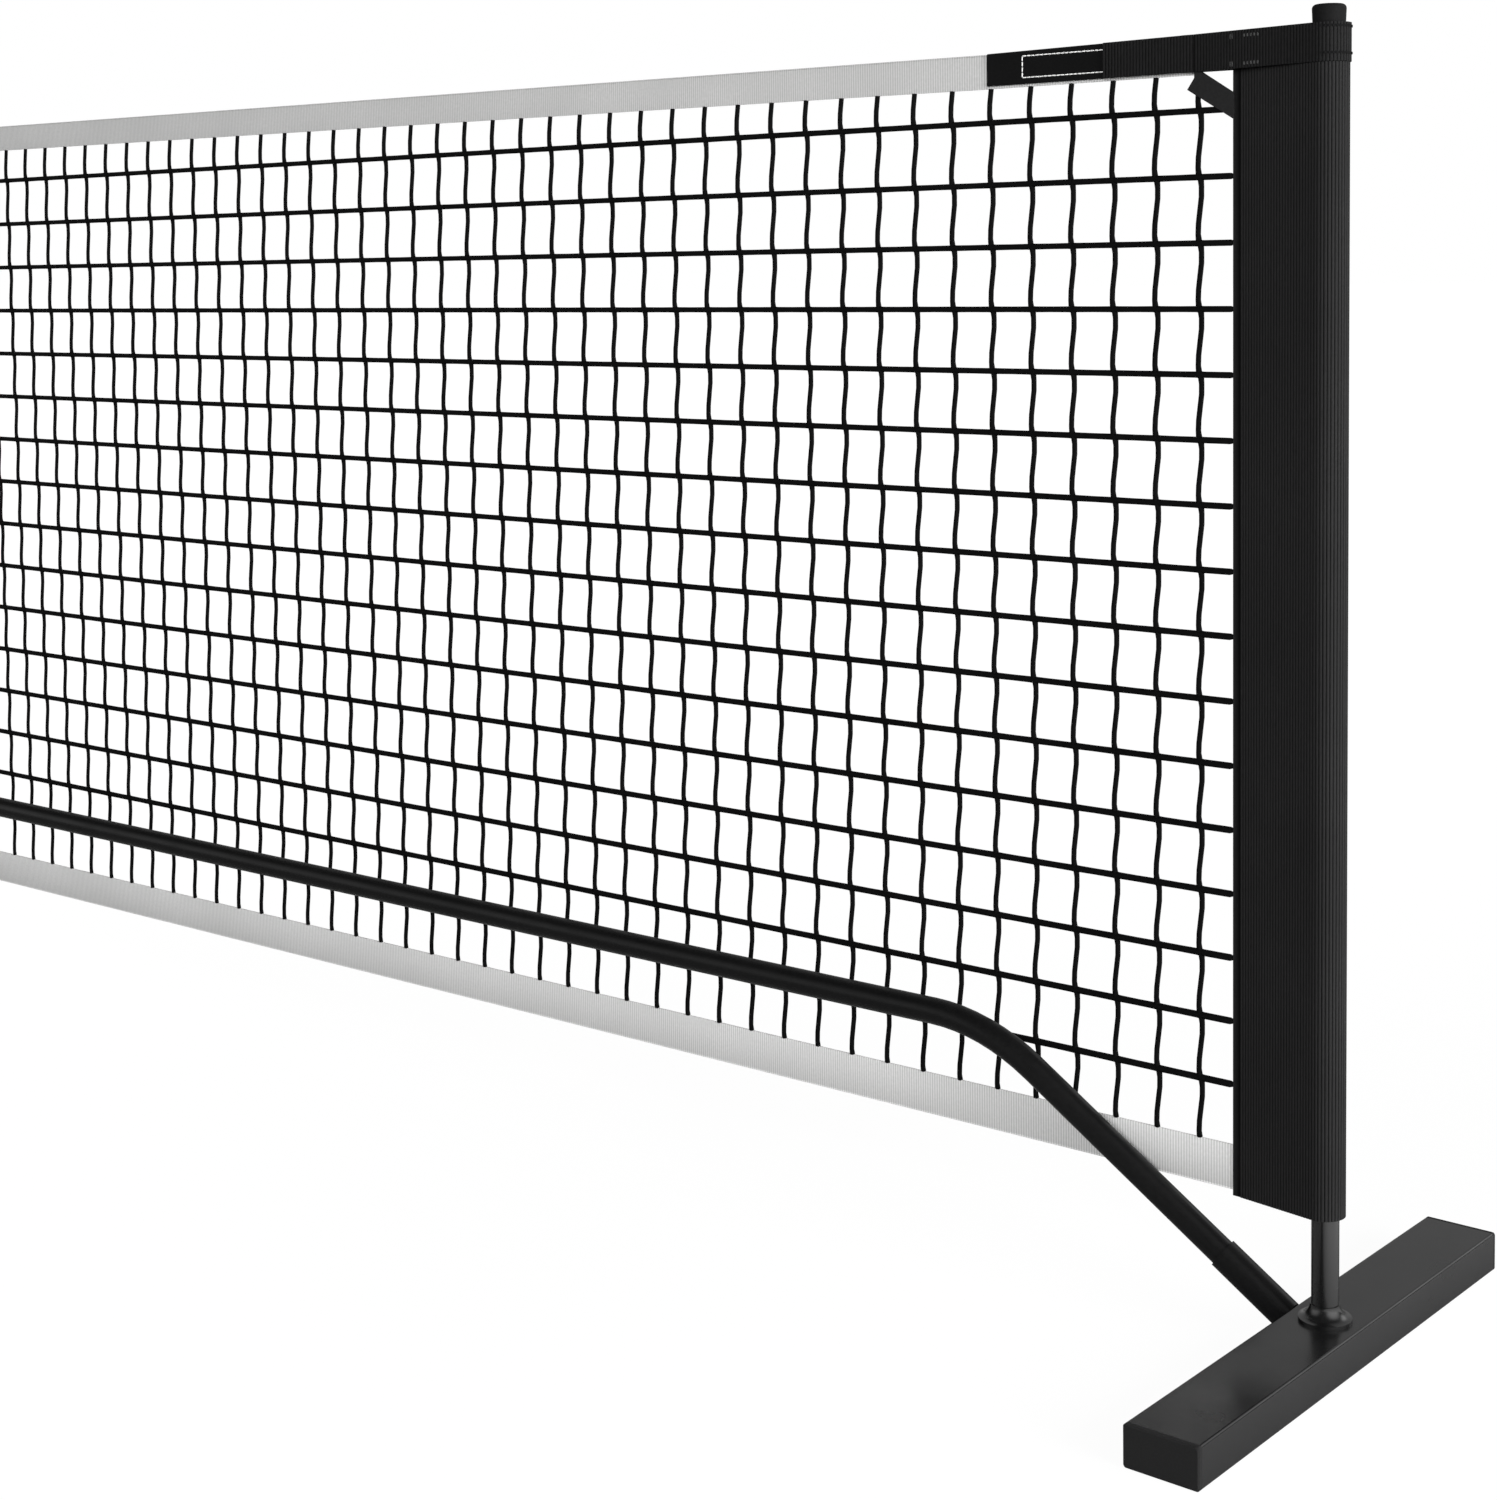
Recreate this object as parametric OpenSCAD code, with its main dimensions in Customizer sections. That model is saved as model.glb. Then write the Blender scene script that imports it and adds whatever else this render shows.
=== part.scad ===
// Portable net for a paddle sport: two end feet and a centre foot joined by a
// plug-together crossbar, two lift-off posts, and a net with fabric sleeves and straps.
// Origin on the ground under the middle of the net, X along the net, Z up.

/* [Overall] */
// Distance between the axes of the two posts
post_span = 6706; // [6200:2:7200]
// Height of the top edge of the net tape above the ground
net_height = 912; // [860:1:950]
// Height of the lower edge of the net above the ground
net_bottom = 103; // [95:0.2:130]
// How far the net hangs behind the line of the two posts
net_back = 5; // [3:0.5:8]

/* [Foot bars] */
// Length of a foot bar with its end caps
foot_length = 440; // [340:5:560]
// Width of a foot bar
foot_width = 55; // [46:1:70]
// Height of a foot bar
foot_height = 29; // [26:1:40]
// Wall of a foot bar
foot_wall = 1.5; // [1.2:0.1:2.5]
// Outside corner radius of a foot bar
foot_corner = 2.2; // [1.8:0.1:3]
// Thickness of the outer plate of an end cap
cap_plate = 4; // [3:0.5:7]
// Bevel round the outer face of an end cap
cap_bevel = 1; // [0.5:0.1:1.5]
// How deep an end cap plugs into the foot bar
cap_plug = 16; // [8:1:30]
// Wall of the hollow plug of an end cap
cap_plug_wall = 2; // [1.5:0.1:3]

/* [Posts] */
// Outside diameter of the stub welded on the foot
stub_d = 19; // [17:0.5:19.5]
// Wall of the stub
stub_wall = 1.5; // [1.2:0.1:2]
// Height of the stop bead above the foot bar
bead_rise = 98; // [85:1:110]
// Height of the stop bead
bead_height = 4; // [3:0.5:6]
// Length of stub inside the post
stub_insert = 180; // [140:5:260]
// Outside diameter of a post
post_d = 22; // [21.5:0.5:25]
// Radius of the flared collar at the foot of the stub
flare_r = 18.5; // [16:0.5:21]
// Height of the flared collar
flare_height = 12; // [9:0.5:16]
// Rim thickness of the flared collar
flare_rim = 2.2; // [1.5:0.1:3]
// Height of the visible head of a post cap
cap_head = 12.5; // [9:0.5:18]
// Radius of the rounded top edge of a post cap
cap_round = 3; // [1.5:0.5:5]
// How deep a post cap plugs into the post
cap_depth = 14; // [8:1:25]

/* [Crossbar] */
// Outside diameter of the crossbar tubes
bar_d = 20; // [19:0.5:22]
// Wall of the crossbar tubes
bar_wall = 1.1; // [1:0.1:1.4]
// Height of the crossbar axis above the ground
bar_height = 196; // [180:1:230]
// Distance from the post axis to the corner where the bar bends down
bend_inset = 265; // [230:1:320]
// Bend radius of the end bars at the tube axis
bend_radius = 140; // [90:5:180]
// How much the tube stands out round the bend, on the radius
bend_swell = 0.05; // [0.03:0.01:0.2]
// Depth below the top of the foot where the leg axis meets its side
leg_drop = 14.3; // [12:0.1:14.6]
// Distance behind the post axis where the leg meets the foot
leg_behind = 10.4; // [4:0.2:14]
// Wall of the leg socket on the foot
socket_wall = 1.3; // [1:0.1:2]
// Length of the leg socket along its axis
socket_length = 68; // [60:1:90]
// Length of leg inside the socket
leg_insert = 52; // [46:1:54]
// Length of the centre bar
centre_bar_len = 1170; // [900:5:1300]
// Length of a straight bar without its plug end
straight_bar_len = 1165; // [900:5:1300]
// Length of the reduced plug end of a bar
plug_len = 60; // [45:1:80]
// Gap left between the ends of two joined bars
joint_gap = 0.4; // [0.2:0.1:0.8]

/* [Snap buttons] */
// Diameter of a snap button
button_d = 6; // [5:0.5:7]
// Height that a snap button stands proud
button_proud = 2.4; // [1.5:0.1:2.6]
// Diameter of the retaining flange of a snap button
flange_d = 8.6; // [8:0.2:9.4]
// Thickness of the retaining flange
flange_t = 1; // [0.8:0.1:1.2]
// Distance from the end of the outer tube to the button axis
button_setback = 24; // [16:1:30]
// Thickness of the spring clip
clip_t = 0.6; // [0.4:0.1:0.8]
// Width of the spring clip
clip_w = 5; // [4:0.5:5.5]
// Length of an arm of the spring clip from its bend to the button
clip_arm = 10; // [8:1:12]

/* [Centre stand] */
// Diameter of the centre rod
rod_d = 9; // [7:0.5:10]
// Free gap between the rod and the crossbar
rod_gap = 2.5; // [2:0.1:4]
// Height of the lower end of the rod above the ground
rod_bottom = 165; // [162:1:172]
// Wall of the tee round the rod
rod_barrel_wall = 3.4; // [2.5:0.1:5]
// Wall of the tee round the crossbar and the leg
tee_wall = 2.8; // [2:0.1:4]
// Length of the tee along the crossbar
tee_length = 70; // [50:1:100]
// Height of the rod barrel above the crossbar axis
barrel_rise = 46; // [42:1:60]
// Length of the rod barrel below the crossbar axis
barrel_drop = 18; // [14:1:24]
// Length of the leg barrel below the crossbar axis
leg_barrel = 45; // [38:1:70]
// Height of the clamp knob above the crossbar axis
knob_rise = 30; // [28:0.5:32]
// Diameter of the clamp knob
knob_d = 24; // [18:1:26]
// Length of the clamp knob head
knob_length = 11; // [8:0.5:16]
// Diameter of the clamp screw
screw_d = 6; // [5:0.5:8]
// Free gap between the tee and the net
net_gap = 2.4; // [2:0.1:6]
// Thickness of the rubber tip on the rod
tip_height = 12; // [8:1:16]
// Wall of the rubber tip on the rod
tip_wall = 1; // [0.8:0.1:1.4]

/* [Net and tapes] */
// Height of the top tape
tape_height = 25.2; // [20:0.2:50]
// How much higher the top tape stands at the middle rod than at its ends
centre_rise = 17.5; // [0:0.5:20]
// Height of the bottom tape
hem_height = 32.6; // [20:0.2:50]
// Thickness of the tapes
tape_t = 1.6; // [1.2:0.1:2.4]
// Diameter of the net cord
cord_d = 3.2; // [2.4:0.1:4]
// Number of openings along the net
net_columns = 48; // [30:1:50]
// Number of openings up the net
net_rows = 6; // [4:1:6]

/* [Sleeves and straps] */
// Distance from the post axis to the seam where the sleeve meets the net
seam_inset = 73.3; // [60:0.1:95]
// Width of the seam of the sleeve
seam_w = 12; // [8:1:20]
// Free room between the post and the fabric round it
fabric_ease = 0.8; // [0.6:0.1:0.9]
// Thickness of the sleeve fabric
sleeve_t = 2; // [1.2:0.1:2.4]
// Height of the lower corner of the sleeve, at its seam, above the ground
sleeve_bottom = 99.4; // [96:0.2:108]
// How much higher the lower edge of the sleeve is at the post than at its seam
sleeve_tilt = 3.6; // [0:0.1:6]
// Thickness of the strap webbing
web_t = 1.4; // [1:0.1:1.8]
// Height of the strap webbing
strap_height = 25.6; // [20:0.2:30]
// How far the strap stands above the tape
strap_rise = 2.4; // [1:0.1:4]
// Distance from the post axis to the fixed end of the strap loop
strap_inset = 103; // [96:0.5:115]
// Distance from the post axis to the free end of the strap
strap_reach = 176; // [150:1:200]
// Distance from the post axis to the inner end of the smooth patch
patch_reach = 276; // [240:1:320]
// Thickness of the smooth patch
patch_t = 1.2; // [0.8:0.1:1.6]
// How far the patch stands above the tape at its inner end
patch_rise = 0.5; // [0.4:0.1:1]
// Width of the slanted corner tab
tab_w = 16; // [12:0.5:20]
// Thickness of the corner tab
tab_t = 1.4; // [1:0.1:1.6]
// Width of the centre pocket where it is sewn to the tape
pocket_w = 44; // [36:1:60]
// Thickness of the centre pocket fabric
pocket_t = 1.4; // [1:0.1:2]

/* [Hidden] */

$fn = 72;
arc_step = 7.5;          // angle of one facet round the fabric wraps
eps = 0.5;               // overrun of cutting solids
tube_fit = 0.1;          // radial clearance of one tube in another
pin_fit = 0.05;          // radial clearance of a button or screw in its hole
air_gap = 0.3;           // space between pieces that move apart
touch_gap = 0.1;         // space between pieces sewn or pressed together

tube_steel = "#232323";
cap_plastic = "#2b2b2b";
black_fabric = "#1d1d1d";
webbing = "#262626";
white_tape = "#d2d2d0";
net_cord = "#141414";
bright_steel = "#b9bbbd";
rod_fibre = "#3a3a3a";

post_x = post_span / 2;
half_foot = foot_width / 2;

// Posts
post_bore = stub_d + 2 * tube_fit;
bead_z = foot_height + bead_rise;
post_base = bead_z + bead_height + air_gap;
post_top = net_height + strap_rise - touch_gap;
bead_r = post_d / 2 - air_gap;

// Net planes
tape_front = net_back - tape_t / 2;
tape_bottom = net_height - tape_height;
hem_top = net_bottom + hem_height;
net_front = net_back - cord_d / 2;

// Centre rod and crossbar places
barrel_r = rod_d / 2 + tube_fit + rod_barrel_wall;
rod_y = net_front - net_gap - barrel_r;
bar_y = rod_y - rod_d / 2 - rod_gap - bar_d / 2;
bar_bore = bar_d - 2 * bar_wall;
plug_d = bar_bore - 2 * tube_fit;
plug_bore = plug_d - 2 * bar_wall;

// Leg and bend
leg_dx = bend_inset - half_foot;
leg_dy = leg_behind - bar_y;
leg_dz = bar_height - foot_height + leg_drop;
leg_lean = atan2(leg_dy, leg_dz);
leg_fall = norm([leg_dy, leg_dz]);
leg_angle = atan2(leg_fall, leg_dx);
leg_span = norm([leg_dx, leg_fall]);
bend_setback = bend_radius * tan(leg_angle / 2);
socket_bore = bar_d + 2 * tube_fit;
socket_d = socket_bore + 2 * socket_wall;
socket_mouth = leg_span - socket_length;
leg_end = socket_mouth + leg_insert;
leg_button_at = socket_mouth + button_setback;
bend_x = post_x - bend_inset;

// Joints along the crossbar, measured from the middle of the net
inner_joint = centre_bar_len / 2;
outer_joint = inner_joint + straight_bar_len;

// Fabric wrapped round a post
wrap_bore = post_d / 2 + fabric_ease;
strap_bottom = net_height + strap_rise - strap_height;
strap_half = tape_t / 2 + patch_t + air_gap + web_t;
tab_front = net_front - touch_gap - tab_t;

// ---- shared shapes ----

// Tube along +Z
module tube(outer, bore, length) {
  difference() {
    cylinder(d = outer, h = length);
    translate([0, 0, -eps]) cylinder(d = bore, h = length + 2 * eps);
  }
}

// Tube along +X that starts at x
module tube_x(x, outer, bore, length) {
  translate([x, 0, 0]) rotate([0, 90, 0]) tube(outer, bore, length);
}

// Places right-hand pieces at the right post
module right_side() {
  translate([post_x, 0, 0]) children();
}

// Places right-hand pieces mirrored at the left post
module left_side() {
  mirror([1, 0, 0]) translate([post_x, 0, 0]) children();
}

// Radial hole along +Y, from the axis outwards
module radial_hole(d, reach) {
  rotate([-90, 0, 0]) cylinder(d = d, h = reach);
}

// ---- foot bars ----

module rounded_outline(w, h, r) {
  translate([-w / 2 + r, 0]) square([w - 2 * r, h]);
  translate([-w / 2, r]) square([w, h - 2 * r]);
  for (x = [-1, 1], z = [0, 1])
    translate([x * (w / 2 - r), z ? h - r : r]) circle(r = r);
}

module foot_bar() {
  color(tube_steel)
    rotate([90, 0, 0])
      linear_extrude(foot_length - 2 * cap_plate, center = true)
        difference() {
          rounded_outline(foot_width, foot_height, foot_corner);
          translate([0, foot_wall])
            rounded_outline(
              foot_width - 2 * foot_wall, foot_height - 2 * foot_wall, foot_corner - foot_wall + 0.3
            );
        }
}

module foot_cap() {
  plug_w = foot_width - 2 * foot_wall - 2 * tube_fit;
  plug_h = foot_height - 2 * foot_wall - 2 * tube_fit;
  hull() {
    linear_extrude(cap_plate - cap_bevel) rounded_outline(foot_width, foot_height, foot_corner, $fn = 32);
    translate([0, cap_bevel, 0]) linear_extrude(cap_plate)
      rounded_outline(foot_width - 2 * cap_bevel, foot_height - 2 * cap_bevel, foot_corner, $fn = 32);
  }
  translate([0, foot_wall + tube_fit, -cap_plug])
    linear_extrude(cap_plug)
      difference() {
        translate([-plug_w / 2, 0]) square([plug_w, plug_h]);
        translate([-plug_w / 2 + cap_plug_wall, cap_plug_wall])
          square([plug_w - 2 * cap_plug_wall, plug_h - 2 * cap_plug_wall]);
      }
}

// Both end caps of one foot bar
module foot_caps() {
  color(cap_plastic)
    for (turn = [0, 180])
      rotate([0, 0, turn])
        translate([0, cap_plate - foot_length / 2, 0])
          rotate([90, 0, 0]) foot_cap();
}

// Flared collar round the foot of an upright tube
module base_collar() {
  arc_r = flare_height - flare_rim;
  neck_r = stub_d / 2 + tube_fit + 0.7;
  color(tube_steel)
    translate([0, 0, foot_height])
      rotate_extrude()
        difference() {
          translate([stub_d / 2 + tube_fit, 0]) square([flare_r - stub_d / 2 - tube_fit, flare_height]);
          translate([neck_r + arc_r, flare_height]) circle(r = arc_r);
          translate([neck_r + arc_r, flare_rim]) square([flare_r, flare_height]);
        }
}

// ---- posts ----

module post_stub() {
  color(tube_steel) {
    translate([0, 0, foot_height])
      tube(stub_d, stub_d - 2 * stub_wall, bead_rise + bead_height + stub_insert);
    translate([0, 0, bead_z])
      rotate_extrude()
        polygon([
          [stub_d / 2 - stub_wall / 2, 0],
          [stub_d / 2, 0],
          [bead_r, bead_height / 2],
          [bead_r, bead_height],
          [stub_d / 2 - stub_wall / 2, bead_height]
        ]);
  }
}

module post_tube() {
  color(tube_steel) translate([0, 0, post_base]) tube(post_d, post_bore, post_top - post_base);
}

module post_cap() {
  head_r = post_d / 2 + 0.3;
  waist_r = post_d / 2 - 0.1;
  color(cap_plastic)
    translate([0, 0, post_top + touch_gap]) {
      rotate_extrude()
        polygon(concat(
          [[0, 0], [waist_r, 0], [head_r, cap_head - cap_round]],
          [for (a = [15:15:90]) [
            head_r - cap_round + cap_round * cos(a),
            cap_head - cap_round + cap_round * sin(a)
          ]],
          [[0, cap_head]]
        ));
      translate([0, 0, -cap_depth]) cylinder(d = post_bore - 2 * tube_fit, h = cap_depth);
    }
}

// ---- crossbar ----

// Frame at the bend corner, with +Z running down the leg
module leg_frame() {
  translate([-bend_inset, bar_y, bar_height])
    rotate([leg_lean, 0, 0])
      rotate([0, 90 + leg_angle, 0]) children();
}

// Frame on the crossbar axis, in the middle of the net
module bar_frame() {
  translate([0, bar_y, bar_height]) children();
}

// Tube along +X from x, with a reduced plug end and its button hole before x
module plugged_tube(x, length) {
  difference() {
    union() {
      tube_x(x, bar_d, bar_bore, length);
      tube_x(x, bar_d - bar_wall, plug_bore, 2 * bar_wall);
      tube_x(x - plug_len, plug_d, plug_bore, plug_len + bar_wall);
    }
    translate([x - joint_gap - button_setback, 0, 0]) radial_hole(button_d + 2 * pin_fit, bar_d);
  }
}

// Bend between the run and the leg, a little wider than the straight tube
module bend() {
  translate([-bend_inset - bend_setback, bar_y, bar_height])
    rotate([leg_lean, 0, 0])
      translate([0, 0, -bend_radius])
        rotate([90, 0, 0])
          rotate([0, 0, 90 - leg_angle])
            rotate_extrude(angle = leg_angle)
              translate([bend_radius, 0])
                difference() {
                  circle(d = bar_d + 2 * bend_swell);
                  circle(d = bar_bore + 2 * bend_swell);
                }
}

module bent_bar() {
  run_start = outer_joint + joint_gap;
  color(tube_steel)
    difference() {
      union() {
        translate([-post_x, 0, 0])
          bar_frame() plugged_tube(run_start, bend_x - bend_setback - run_start + eps);
        bend();
        leg_frame() translate([0, 0, bend_setback - eps]) tube(bar_d, bar_bore, leg_end - bend_setback + eps);
      }
      leg_frame() translate([0, 0, leg_button_at]) radial_hole(button_d + 2 * pin_fit, bar_d);
    }
}

module leg_socket() {
  color(tube_steel)
    difference() {
      leg_frame() translate([0, 0, socket_mouth]) tube(socket_d, socket_bore, 2 * socket_length);
      leg_frame() translate([0, 0, leg_button_at]) radial_hole(button_d + 2 * pin_fit, socket_d);
      translate([-half_foot, -socket_length, -socket_length]) cube(4 * socket_length);
    }
}

module straight_bar() {
  start = inner_joint + joint_gap;
  color(tube_steel)
    bar_frame()
      difference() {
        plugged_tube(start, outer_joint - start);
        translate([outer_joint - button_setback, 0, 0]) radial_hole(button_d + 2 * pin_fit, bar_d);
      }
}

module centre_bar() {
  color(tube_steel)
    bar_frame()
      difference() {
        tube_x(-inner_joint, bar_d, bar_bore, centre_bar_len);
        for (side = [-1, 1])
          translate([side * (inner_joint - button_setback), 0, 0])
            radial_hole(button_d + 2 * pin_fit, bar_d);
      }
}

// ---- snap buttons ----

// Height of the top face of the flange inside a tube of this bore
function flange_top(bore) = sqrt(pow(bore / 2, 2) - pow(flange_d / 2, 2)) - 2 * touch_gap;

// Button along +Y, for a tube of this bore inside one of this outer diameter
module snap_button(bore, outer) {
  tip = outer / 2 + button_proud;
  color(bright_steel)
    rotate([-90, 0, 0]) {
      translate([0, 0, flange_top(bore) - flange_t]) cylinder(d = flange_d, h = flange_t);
      translate([0, 0, flange_top(bore) - eps])
        cylinder(d = button_d, h = tip - button_d / 2 - flange_top(bore) + eps);
      translate([0, 0, tip - button_d / 2]) sphere(d = button_d);
    }
}

// U-shaped spring clip behind a button, its bend towards +X
module spring_clip(bore) {
  high = flange_top(bore) - flange_t - 2 * touch_gap;
  low = -sqrt(pow(bore / 2, 2) - pow(clip_w / 2, 2)) + 2 * touch_gap;
  bend_r = (high - low) / 2;
  color(bright_steel)
    translate([clip_arm, high - bend_r, -clip_w / 2])
      linear_extrude(clip_w)
        difference() {
          union() {
            circle(r = bend_r);
            translate([-clip_arm - flange_d / 2, -bend_r]) square([clip_arm + flange_d / 2, 2 * bend_r]);
          }
          circle(r = bend_r - clip_t);
          translate([-clip_arm - flange_d, clip_t - bend_r])
            square([clip_arm + flange_d, 2 * (bend_r - clip_t)]);
        }
}

module at_leg_button() {
  leg_frame() translate([0, 0, leg_button_at]) rotate([0, 90, 0]) children();
}

module at_outer_button() {
  translate([outer_joint - button_setback - post_x, bar_y, bar_height]) children();
}

module at_inner_button() {
  translate([inner_joint - button_setback - post_x, bar_y, bar_height]) children();
}

module clips_of_one_side() {
  at_leg_button() spring_clip(bar_bore);
  at_outer_button() spring_clip(plug_bore);
  at_inner_button() spring_clip(plug_bore);
}

module button_clips() {
  right_side() clips_of_one_side();
  left_side() clips_of_one_side();
}

// ---- centre stand ----

module centre_tee() {
  sleeve_r = socket_bore / 2 + tee_wall;
  leg_r = stub_d / 2 + tube_fit + tee_wall;
  knob_boss = screw_d + 2 * tee_wall;
  color(cap_plastic)
    difference() {
      union() {
        bar_frame()
          translate([-tee_length / 2, 0, 0]) rotate([0, 90, 0]) cylinder(r = sleeve_r, h = tee_length);
        translate([0, bar_y, bar_height - leg_barrel]) cylinder(r = leg_r, h = leg_barrel);
        translate([0, rod_y, bar_height - barrel_drop]) cylinder(r = barrel_r, h = barrel_drop + barrel_rise);
        translate([-tee_wall, bar_y, bar_height - barrel_drop])
          cube([2 * tee_wall, rod_y - bar_y, barrel_drop + sleeve_r]);
        translate([0, rod_y, bar_height + knob_rise])
          rotate([90, 0, 0]) cylinder(d = knob_boss, h = barrel_r + tee_wall);
      }
      bar_frame()
        translate([-tee_length, 0, 0]) rotate([0, 90, 0]) cylinder(d = socket_bore, h = 2 * tee_length);
      translate([0, bar_y, bar_height - leg_barrel - eps])
        cylinder(d = stub_d + 2 * tube_fit, h = leg_barrel + eps - socket_bore / 2 - tee_wall / 2);
      translate([0, rod_y, bar_height - barrel_drop - eps])
        cylinder(d = rod_d + 2 * tube_fit, h = barrel_drop + barrel_rise + 2 * eps);
      translate([0, rod_y, bar_height + knob_rise])
        rotate([90, 0, 0]) cylinder(d = screw_d + 2 * pin_fit, h = barrel_r + 2 * tee_wall);
    }
}

module centre_leg() {
  top = bar_height - socket_bore / 2 - tee_wall / 2 - air_gap;
  color(tube_steel)
    translate([0, bar_y, foot_height]) tube(stub_d, stub_d - 2 * stub_wall, top - foot_height);
}

module centre_rod() {
  top = pocket_ceiling() - air_gap - tip_wall;
  color(rod_fibre) translate([0, rod_y, rod_bottom]) cylinder(d = rod_d, h = top - rod_bottom);
}

module rod_tip() {
  top = pocket_ceiling() - air_gap;
  color(cap_plastic)
    translate([0, rod_y, top - tip_height])
      difference() {
        cylinder(d = rod_d + 2 * tip_wall, h = tip_height);
        translate([0, 0, -eps]) cylinder(d = rod_d + touch_gap, h = tip_height - tip_wall + eps);
      }
}

module height_knob() {
  lobes = 6;
  lobe_r = knob_d / 8;
  head_start = rod_y - barrel_r - tee_wall - air_gap;
  color(cap_plastic)
    translate([0, head_start, bar_height + knob_rise])
      rotate([90, 0, 0]) {
        difference() {
          cylinder(d = knob_d, h = knob_length);
          for (i = [0:lobes - 1])
            rotate([0, 0, i * 360 / lobes])
              translate([knob_d / 2 + lobe_r / 3, 0, -eps]) cylinder(r = lobe_r, h = knob_length + 2 * eps);
        }
        translate([0, 0, head_start - rod_y + rod_d / 2 + touch_gap])
          cylinder(d = screw_d, h = rod_y - rod_d / 2 - touch_gap - head_start + eps);
      }
}

// ---- net ----

module net_mesh() {
  reach = post_x - seam_inset - touch_gap;
  foot = post_x - patch_reach;
  height = tape_bottom - hem_top;
  gap_x = (2 * reach - cord_d) / net_columns;
  color(net_cord)
    translate([0, net_back + cord_d / 2, hem_top])
      rotate([90, 0, 0])
        linear_extrude(cord_d)
          difference() {
            polygon([
              [-reach, 0], [reach, 0], [reach, height], [foot, height],
              [0, height + centre_rise], [-foot, height], [-reach, height]
            ]);
            for (i = [0:net_columns - 1]) {
              x = cord_d - reach + i * gap_x;
              gap_z = (height + rise_at(x + gap_x / 2) - cord_d) / net_rows;
              for (j = [0:net_rows - 1])
                translate([x, cord_d + j * gap_z]) square([gap_x - cord_d, gap_z - cord_d]);
            }
          }
}

// How far the top tape stands above its ends, at this distance from the middle
function rise_at(x) = centre_rise * max(0, 1 - abs(x) / (post_x - patch_reach));

// Tape that rises in two straight runs to the middle rod
module peaked_tape(reach, z, height) {
  foot = post_x - patch_reach;
  color(white_tape)
    translate([0, tape_front + tape_t, z])
      rotate([90, 0, 0])
        linear_extrude(tape_t)
          polygon([
            [-reach, 0], [-foot, 0], [0, centre_rise], [foot, 0], [reach, 0],
            [reach, height], [foot, height], [0, height + centre_rise], [-foot, height], [-reach, height]
          ]);
}

module flat_tape(reach, z, height) {
  color(white_tape) translate([-reach, tape_front, z]) cube([2 * reach, tape_t, height]);
}

function pocket_ceiling() = net_height + centre_rise - 3 * pocket_t;

// Outline of a pocket of this radius round the rod, closed on the tape
module pocket_outline(r, half_w) {
  back = tape_front - rod_y;
  turn = atan2(back, half_w) - acos(r / norm([half_w, back]));
  count = ceil((180 + 2 * turn) / arc_step);
  polygon(concat(
    [[half_w, back]],
    [[-half_w, back]],
    [for (i = [0:count]) let (a = 180 - turn + i * (180 + 2 * turn) / count) [r * cos(a), r * sin(a)]]
  ));
}

module centre_pocket() {
  inner_r = rod_d / 2 + tip_wall + air_gap;
  floor_z = tape_bottom + centre_rise + 1;
  color(webbing)
    translate([0, rod_y, floor_z])
      difference() {
        linear_extrude(pocket_ceiling() + 2 * pocket_t - floor_z)
          pocket_outline(inner_r + pocket_t, pocket_w / 2);
        translate([0, 0, -eps])
          linear_extrude(pocket_ceiling() - floor_z + eps)
            difference() {
              pocket_outline(inner_r, pocket_w / 2 - 4 * pocket_t);
              translate([-pocket_w, tape_front - rod_y - pocket_t]) square([2 * pocket_w, 2 * pocket_t]);
            }
      }
}

// ---- sleeves and straps ----

// Outline of fabric that leaves a seam at [-inset, net_back] and goes round the post
module wrap_outline(r, inset, half_t) {
  front = [-inset, net_back - half_t];
  back = [-inset, net_back + half_t];
  front_turn = atan2(front[1], front[0]) + acos(r / norm(front));
  back_turn = atan2(back[1], back[0]) - acos(r / norm(back));
  start = front_turn - 360 * ceil((front_turn - back_turn) / 360);
  count = ceil((back_turn - start) / arc_step);
  polygon(concat(
    [back],
    [front],
    [for (i = [0:count]) let (a = start + i * (back_turn - start) / count) [r * cos(a), r * sin(a)]]
  ));
}

// Sleeve with its lower edge cut on a slant, lowest at the seam
module sleeve() {
  slope = sleeve_tilt / seam_inset;
  color(black_fabric)
    difference() {
      translate([0, 0, sleeve_bottom])
        linear_extrude(strap_bottom - 2 * touch_gap - sleeve_bottom)
          difference() {
            wrap_outline(wrap_bore + sleeve_t, seam_inset, tape_t / 2 + sleeve_t / 2);
            wrap_outline(wrap_bore, seam_inset - seam_w, touch_gap);
          }
      translate([-seam_inset, seam_inset, sleeve_bottom])
        rotate([90, 0, 0])
          linear_extrude(2 * seam_inset)
            polygon([
              [-seam_w, -slope * seam_w],
              [2 * seam_inset, -seam_w],
              [2 * seam_inset, 2 * sleeve_tilt]
            ]);
    }
}

// Height of the strap and the patch at this distance from the post, falling away from it
function band_height(x) =
  strap_height - (strap_rise - patch_rise) * max(0, x - strap_inset) / (patch_reach - strap_inset);

// Band of webbing or patch between two distances from the post, its front face at y
module band(far, near, y, t) {
  translate([0, y + t, 0])
    rotate([90, 0, 0])
      linear_extrude(t)
        polygon([[-far, 0], [-near, 0], [-near, band_height(near)], [-far, band_height(far)]]);
}

module top_strap() {
  tail = tape_t / 2 + patch_t + touch_gap;
  color(webbing)
    translate([0, 0, strap_bottom]) {
      linear_extrude(strap_height)
        difference() {
          wrap_outline(wrap_bore + 2 * web_t, strap_inset, strap_half);
          wrap_outline(wrap_bore, strap_inset - seam_w, touch_gap);
        }
      band(strap_reach, strap_inset - eps, net_back + tail, web_t);
    }
}

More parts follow.
